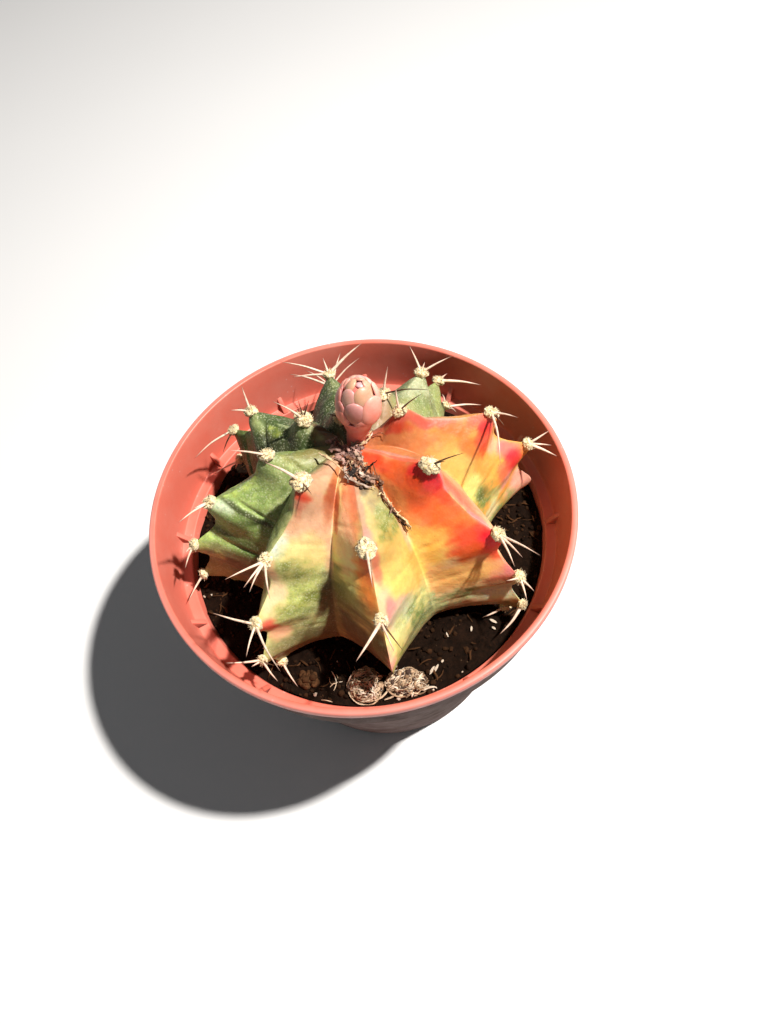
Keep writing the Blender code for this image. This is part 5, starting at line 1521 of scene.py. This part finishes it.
soil = {
    "grid": 190, "lump": 1.5, "rough": ((0.55, 0.35, 3, 4), (0.28, 1.3, 5, 3)), "highest": 0.4,
    "hollowRadius": 24, "hollowEdge": 4, "hollowDepth": 1.5, "walls": ((30, 0.88), (30, 0.86)),
    "inner": 22, "radius": 44.6, "wallGap": 0.1, "seed": 31,
    "crumbs": 1300, "crumbSize": (0.2, 0.75), "perlite": 26, "perliteSize": (0.25, 0.6),
    "rootlets": 170, "rootletBelt": (28, 43), "rootletSize": (1.5, 6.0), "rootletWidth": (0.08, 0.28),
    "rootletLift": (0.35, 1.0), "sliverLift": 0.45, "stretch": (0.6, 1.25),
    # tones from the dark ground at 0 over brown to pale at 1
    "crumbTones": (0.0, 0.4), "perliteTones": (0.9, 1.0), "peatTones": (0.4, 0.8), "rootletTones": (0.45, 0.8),
    "sliverTone": 0.98,
}
# pale slivers on it, as pixel pairs with a half width (mm), and a crumbly heap of peat
slivers = [
    ((429.5, 674.5), (434.5, 666), 0.34), ((433.5, 673), (438.5, 664), 0.3), ((441.5, 662.5), (443.5, 659.5), 0.26),
    ((446.6, 632), (448.2, 637), 0.3), ((471.6, 626), (471.2, 631.5), 0.26), ((489.5, 619), (497, 623), 0.4),
    ((492, 626.5), (495.5, 629.5), 0.34), ((377.5, 672.5), (379.5, 677.5), 0.34), ((336.5, 661), (338, 662), 0.2),
]
peatHeap = {"middle": (309, 679.5), "reach": 8.5, "tall": 1.5, "bits": 60, "bitSize": (0.3, 0.9)}


def soilLevel(x, y):
    # the gently uneven top, as the frame has it (mm)
    x, y = x * mm, y * mm
    waves = np.sin(210 * x + 1.3 * np.sin(260 * y)) * np.cos(240 * y + 0.7 + 1.1 * np.sin(190 * x))
    return soilTop - soil["lump"] * (0.5 - 0.5 * waves)


def makeSoil():
    deselectAll()
    wall = insideRadius(soilTop) - 0.4
    bpy.ops.mesh.primitive_grid_add(x_subdivisions=soil["grid"], y_subdivisions=soil["grid"], size=2)
    ground = takePrimitive("soilGround")
    coords = getCoords(ground)
    # the square grid pulled round
    x, y = coords[:, 0].copy(), coords[:, 1].copy()
    coords[:, 0] = x * np.sqrt(1 - y * y / 2) * wall
    coords[:, 1] = y * np.sqrt(1 - x * x / 2) * wall
    away = np.hypot(coords[:, 0], coords[:, 1])
    rough = sum(size * noiseAt(coords, scale, seed, octaves) for size, scale, seed, octaves in soil["rough"])
    level = soilLevel(coords[:, 0], coords[:, 1]) + rough * np.clip((wall - away) / 2, 0, 1)
    hollow = np.clip((soil["hollowRadius"] - away) / soil["hollowEdge"], 0, 1) * soil["hollowDepth"]
    coords[:, 2] = np.minimum(level, soilTop + soil["highest"]) - hollow
    setCoords(ground, coords * mm)
    activate(ground)
    bpy.ops.object.mode_set(mode="EDIT")
    bpy.ops.mesh.select_all(action="SELECT")
    bpy.ops.mesh.region_to_loop()
    for deep, narrow in soil["walls"]:
        bpy.ops.mesh.extrude_region_move(TRANSFORM_OT_translate={"value": (0, 0, -deep * mm)})
        bpy.ops.transform.resize(value=(narrow, narrow, 1), center_override=(0, 0, 0))
    bpy.ops.mesh.edge_face_add()
    bpy.ops.object.mode_set(mode="OBJECT")
    tidyNormals(ground)
    smoothShade(ground, 60)
    return ground


def insidePot(shape):
    return max(np.hypot(shape[:, 0], shape[:, 1])) < insideRadius(soilTop) - soil["wallGap"]


def scatterOnSoil(draws, count, sizes, lump, lift, tones):
    shapes, shapeTones = [], []
    while len(shapes) < count:
        turn = draws.uniform(0, 2 * math.pi)
        away = math.sqrt(draws.uniform(soil["inner"] ** 2, soil["radius"] ** 2))
        x, y = away * math.cos(turn), away * math.sin(turn)
        size = draws.uniform(*sizes)
        z = soilLevel(x, y) + lift * size
        spin = Matrix.Rotation(draws.uniform(0, 6.3), 3, Vector(drawThree(draws, -1, 1)).normalized())
        stretch = drawThree(draws, *soil["stretch"])
        shape = (lumpy(lump["coords"], 0.3, 1.5, draws) * stretch * size) @ np.array(spin) + (x, y, z)
        if insidePot(shape):
            shapes.append(shape)
            shapeTones.append(draws.uniform(*tones))
    return shapes, shapeTones


def makeCrumbs():
    draws = random.Random(soil["seed"])
    lump = makeLump(2)
    shapes, tones = scatterOnSoil(draws, soil["crumbs"], soil["crumbSize"], lump, 0.3, soil["crumbTones"])
    pale, paleTones = scatterOnSoil(draws, soil["perlite"], soil["perliteSize"], lump, 0.6, soil["perliteTones"])
    heapX, heapY = peatHeap["middle"]
    for index in range(peatHeap["bits"]):
        turn, away = draws.uniform(0, 2 * math.pi), math.sqrt(draws.uniform(0, 1))
        reach = away * peatHeap["reach"]
        pixel = (heapX + math.cos(turn) * reach, heapY + math.sin(turn) * reach)
        place = onPiece(soilGround, pixel, peatHeap["tall"] * (1 - away) * draws.uniform(0.3, 1))
        shapes.append(lumpy(lump["coords"], 0.35, 1.8, draws) * draws.uniform(*peatHeap["bitSize"]) + place)
        tones.append(draws.uniform(*soil["peatTones"]))
    crumbs = stackToned("soilCrumbs", lump, shapes + pale, tones + paleTones)

    ball = makeBall(5, 8)
    strips, stripTones = [], []
    for index in range(soil["rootlets"]):
        turn = draws.uniform(0, 2 * math.pi)
        away = draws.uniform(*soil["rootletBelt"])
        x, y = away * math.cos(turn), away * math.sin(turn)
        heading = draws.uniform(0, 2 * math.pi)
        size = draws.uniform(*soil["rootletSize"])
        path = []
        for k in range(4):
            heading += draws.uniform(-0.5, 0.5)
            x, y = x + math.cos(heading) * size / 4, y + math.sin(heading) * size / 4
            path.append((x, y, soilLevel(x, y) + draws.uniform(*soil["rootletLift"])))
        if max(math.hypot(x, y) for x, y, z in path) > soil["radius"]:
            continue
        thick = draws.uniform(*soil["rootletWidth"])
        strips.append(alongPath(ball, path, [thick * 0.6, thick, thick, thick * 0.3], draws.uniform(0.3, 1)))
        stripTones.append(draws.uniform(*soil["rootletTones"]))
    for start, end, thick in slivers:
        path = [onPiece(soilGround, pixel, soil["sliverLift"]) for pixel in (start, end)]
        strips.append(alongPath(ball, path, [thick * 0.5, thick, thick, thick * 0.4], 0.5))
        stripTones.append(soil["sliverTone"])
    piece = joinAll([crumbs, stackToned("rootlets", ball, strips, stripTones)], "soilCrumbs")
    smoothShade(piece, 50)
    return piece


soilLook = {
    "earth": ((11, 6, 3), (34, 20, 11)), "specks": (110, 84, 60), "brown": (84, 56, 34), "pale": (196, 180, 160),
    "grainScale": 700, "speckScale": 900, "speckShare": 0.35,
}


def makeSoilFinish(name, toned=False):
    # a toned piece runs from the ground's dark earth over brown to pale
    earth = materialNodes(name, 0.92)
    dark = earth.twoTones(earth.ramp(earth.noise(soilLook["grainScale"], 6, 0.75), 0.3, 0.7), soilLook["earth"])
    specks = earth.times(earth.ramp(earth.cells(soilLook["speckScale"]), 0.2, 0.1),
                         earth.ramp(earth.noise(200, 2), 0.55, 0.62))
    base = earth.tint(earth.times(specks, soilLook["speckShare"]), dark, soilLook["specks"])
    if toned:
        tone = earth.attribute("tone")
        brown = earth.tint(earth.ramp(tone, 0.1, 0.8), base, soilLook["brown"])
        base = earth.tint(earth.ramp(tone, 0.82, 0.92), brown, soilLook["pale"])
    earth.colour(base)
    earth.set("Specular IOR Level", 0.08)
    earth.normal(earth.bump(earth.noise(1500, 5, 0.7), 0.0004, 0.9))
    return earth.material


soilGround = makeSoil()
finishPiece(soilGround, makeSoilFinish("pottingSoil"), "potting_soil", "soil")
soilCrumbs = makeCrumbs()
finishPiece(soilCrumbs, makeSoilFinish("soilBits", True), "potting_soil")


roots = {
    "clumps": [
        {"middle": (366, 685), "reach": (17, 17), "tall": 3.0, "fibres": 130, "lay": None, "lumps": 110},
        {"middle": (407, 683), "reach": (21, 14), "tall": 2.2, "fibres": 130, "lay": -12, "lumps": 90},
    ],
    "seed": 41, "step": 4.0, "limitGap": 0.6, "sink": 0.9, "widths": (0.08, 0.1, 0.13, 0.17, 0.24),
    "fibreColours": ("pale", "pale", "fibre", "fibre", "tan", "tan", "brown"),
    "lumpSize": (0.3, 0.85), "lumpColours": ("dark", "brown", "brown", "tan", "fibre"),
    # how far each fibre differs from its neighbours: heights, shades, and turns (radians)
    "liftChange": (0.7, 1.3), "shadeChange": (0.85, 1.1), "domeChange": (0.75, 1.1), "lumpDome": (0.2, 0.95),
    "woundTurn": 1.1, "laidTurn": 0.7, "crook": 0.8, "winding": 0.5, "edgeReach": 1.1,
}
rootColours = {
    "pale": (236, 222, 200), "fibre": (216, 192, 162), "tan": (186, 158, 126), "brown": (132, 104, 78),
    "dark": (66, 46, 34),
}
# longer strands: pixels, heights (mm), half width, colour
rootStrands = [
    ([(350, 677), (347, 686), (351, 697), (359, 704), (369, 706)], 0.7, 0.15, "fibre"),
    ([(353, 679), (351, 688), (355, 697), (363, 702), (372, 701)], 1.0, 0.13, "tan"),
    ([(348, 680), (349, 691), (355, 700), (364, 706.5), (374, 705)], 0.5, 0.13, "tan"),
    ([(356, 672), (351, 676), (348, 682)], 1.5, 0.18, "pale"),
    ([(368, 706), (374, 703.5), (380, 697), (381, 690)], 0.7, 0.2, "tan"),
    ([(371, 687), (374.5, 689.5), (373.5, 695), (370, 698)], 2.0, 0.22, "pale"),
    ([(374, 701), (382, 697), (388, 690), (389, 684)], 1.0, 0.24, "fibre"),
    ([(384, 700), (392, 697), (399, 692), (408, 690)], 0.8, 0.26, "fibre"),
    ([(386, 688), (392, 694), (401, 697), (410, 694)], 1.1, 0.22, "tan"),
    ([(402, 672), (409, 676), (416, 675.5), (422, 673.5)], 1.0, 0.22, "fibre"),
    ([(422.5, 672.5), (419, 679), (418.5, 685), (421, 690)], 1.3, 0.28, "pale"),
    ([(404, 680), (412, 679), (419, 682), (424, 688)], 1.1, 0.22, "pale"),
    ([(400, 694), (409, 688), (418, 690), (427, 688.5)], 0.8, 0.22, "fibre"),
    ([(423, 690.5), (429, 687.6), (435, 687), (437.5, 689.5)], 0.9, 0.26, "pale"),
    ([(404, 668), (411, 667.5), (417, 671)], 0.9, 0.16, "tan"),
    ([(433.5, 688.5), (434.5, 693), (432.5, 697)], 0.9, 0.24, "pale"),
    # rootlets lying apart on the left
    ([(331.5, 671), (335, 677), (336.5, 683)], 0.6, 0.14, "pale"),
    ([(336.5, 683), (333, 684), (330, 687.5)], 0.5, 0.13, "fibre"),
    ([(336.5, 683), (335, 688), (333.5, 691)], 0.4, 0.12, "fibre"),
    ([(329.5, 677), (330, 682), (333, 685)], 0.5, 0.12, "tan"),
    ([(336, 682.5), (340, 682), (343, 681.6)], 0.4, 0.12, "pale"),
    ([(335.5, 674), (337.5, 676.5), (338, 680)], 0.5, 0.1, "tan"),
    ([(321, 700), (326, 703), (333, 703)], 0.5, 0.14, "fibre"),
    ([(333, 706), (339, 708), (344, 706)], 0.4, 0.12, "pale"),
    ([(354.5, 666), (355.2, 669), (355.8, 672)], 1.2, 0.12, "brown"),
    ([(366, 671), (369.5, 668.6), (371, 669)], 1.6, 0.1, "fibre"),
]


def makeRoots():
    draws = random.Random(roots["seed"])
    ball = makeBall(5, 14)
    shapes, tints = [], []

    def keepInside(point):
        limit = insideRadius(soilTop) - roots["limitGap"]
        away = math.hypot(point[0], point[1])
        if away > limit:
            point[:2] *= limit / away
        point[2] = max(point[2], soilTop - roots["sink"])
        return point

    def addFibre(path, thick, colour):
        points = [keepInside(point) for point in path]
        shapes.append(alongPath(ball, points, [thick * 0.6, thick, thick * 0.9, thick * 0.35]))
        shade = draws.uniform(*roots["shadeChange"])
        tints.append(np.clip(np.array(rootColours[colour], float) * shade, 0, 255))

    for pixels, lift, thick, colour in rootStrands:
        lifts = [lift * draws.uniform(*roots["liftChange"]) for pixel in pixels]
        addFibre([onPiece(soilGround, pixel, high) for pixel, high in zip(pixels, lifts)], thick, colour)
    lump = makeLump(2)
    lumps, lumpTints = [], []
    for clump in roots["clumps"]:
        middle, reach, tall = np.array(clump["middle"], float), np.array(clump["reach"], float), clump["tall"]
        wound = clump["lay"] is None
        winding = roots["winding"] * roots["step"] / reach[0] if wound else 0

        def overClump(place, height):
            return onPiece(soilGround, tuple(middle + place * reach), height)

        # crooked fibres, laid round the clump or along one direction
        for index in range(clump["fibres"]):
            turn, away = draws.uniform(0, 2 * math.pi), math.sqrt(draws.uniform(0.02, 1))
            place = np.array((math.cos(turn) * away, math.sin(turn) * away))
            heading = turn + math.pi / 2 + draws.uniform(-roots["woundTurn"], roots["woundTurn"])
            if not wound:
                heading = math.radians(clump["lay"] + draws.choice((0, 180)))
                heading += draws.uniform(-roots["laidTurn"], roots["laidTurn"])
            path = []
            for k in range(draws.choice((3, 4, 5, 6))):
                edge = min(1.0, float(np.hypot(*place)))
                dome = tall * math.sqrt(1 - 0.92 * edge * edge) * draws.uniform(*roots["domeChange"])
                path.append(overClump(place, dome))
                heading += draws.uniform(-roots["crook"], roots["crook"]) + winding
                place = place + np.array((math.cos(heading), math.sin(heading))) * roots["step"] / reach
                if np.hypot(*place) > roots["edgeReach"]:
                    place /= np.hypot(*place)
            addFibre(path, draws.choice(roots["widths"]), draws.choice(roots["fibreColours"]))
        # crumbs of earth and bark caught in it
        for index in range(clump["lumps"]):
            turn, away = draws.uniform(0, 2 * math.pi), math.sqrt(draws.uniform(0, 0.9))
            place = np.array((math.cos(turn), math.sin(turn))) * away
            size = drawThree(draws, *roots["lumpSize"])
            dome = tall * math.sqrt(1 - away * away) * draws.uniform(*roots["lumpDome"])
            shape = lumpy(lump["coords"], 0.35, 1.9, draws, 80) * size + keepInside(overClump(place, dome))
            if insidePot(shape):
                lumps.append(shape)
                lumpTints.append(rootColours[draws.choice(roots["lumpColours"])])
    strands = stackPainted("rootTangle", ball, shapes, tints)
    piece = joinAll([strands, stackPainted("rootLumps", lump, lumps, lumpTints)], "rootTangle")
    tidyNormals(piece)
    smoothShade(piece, 60)
    return piece


rootLook = {
    "grainScale": 1300, "detail": 4, "stretch": None, "clear": 0.36, "shadeShare": 0.7, "shade": (0.4, 0.3, 0.22),
    "flecks": None,
}

rootTangle = makeRoots()
finishPiece(rootTangle, makeFibreFinish("dryRoots", rootLook), "dry_root", "root_tangle")
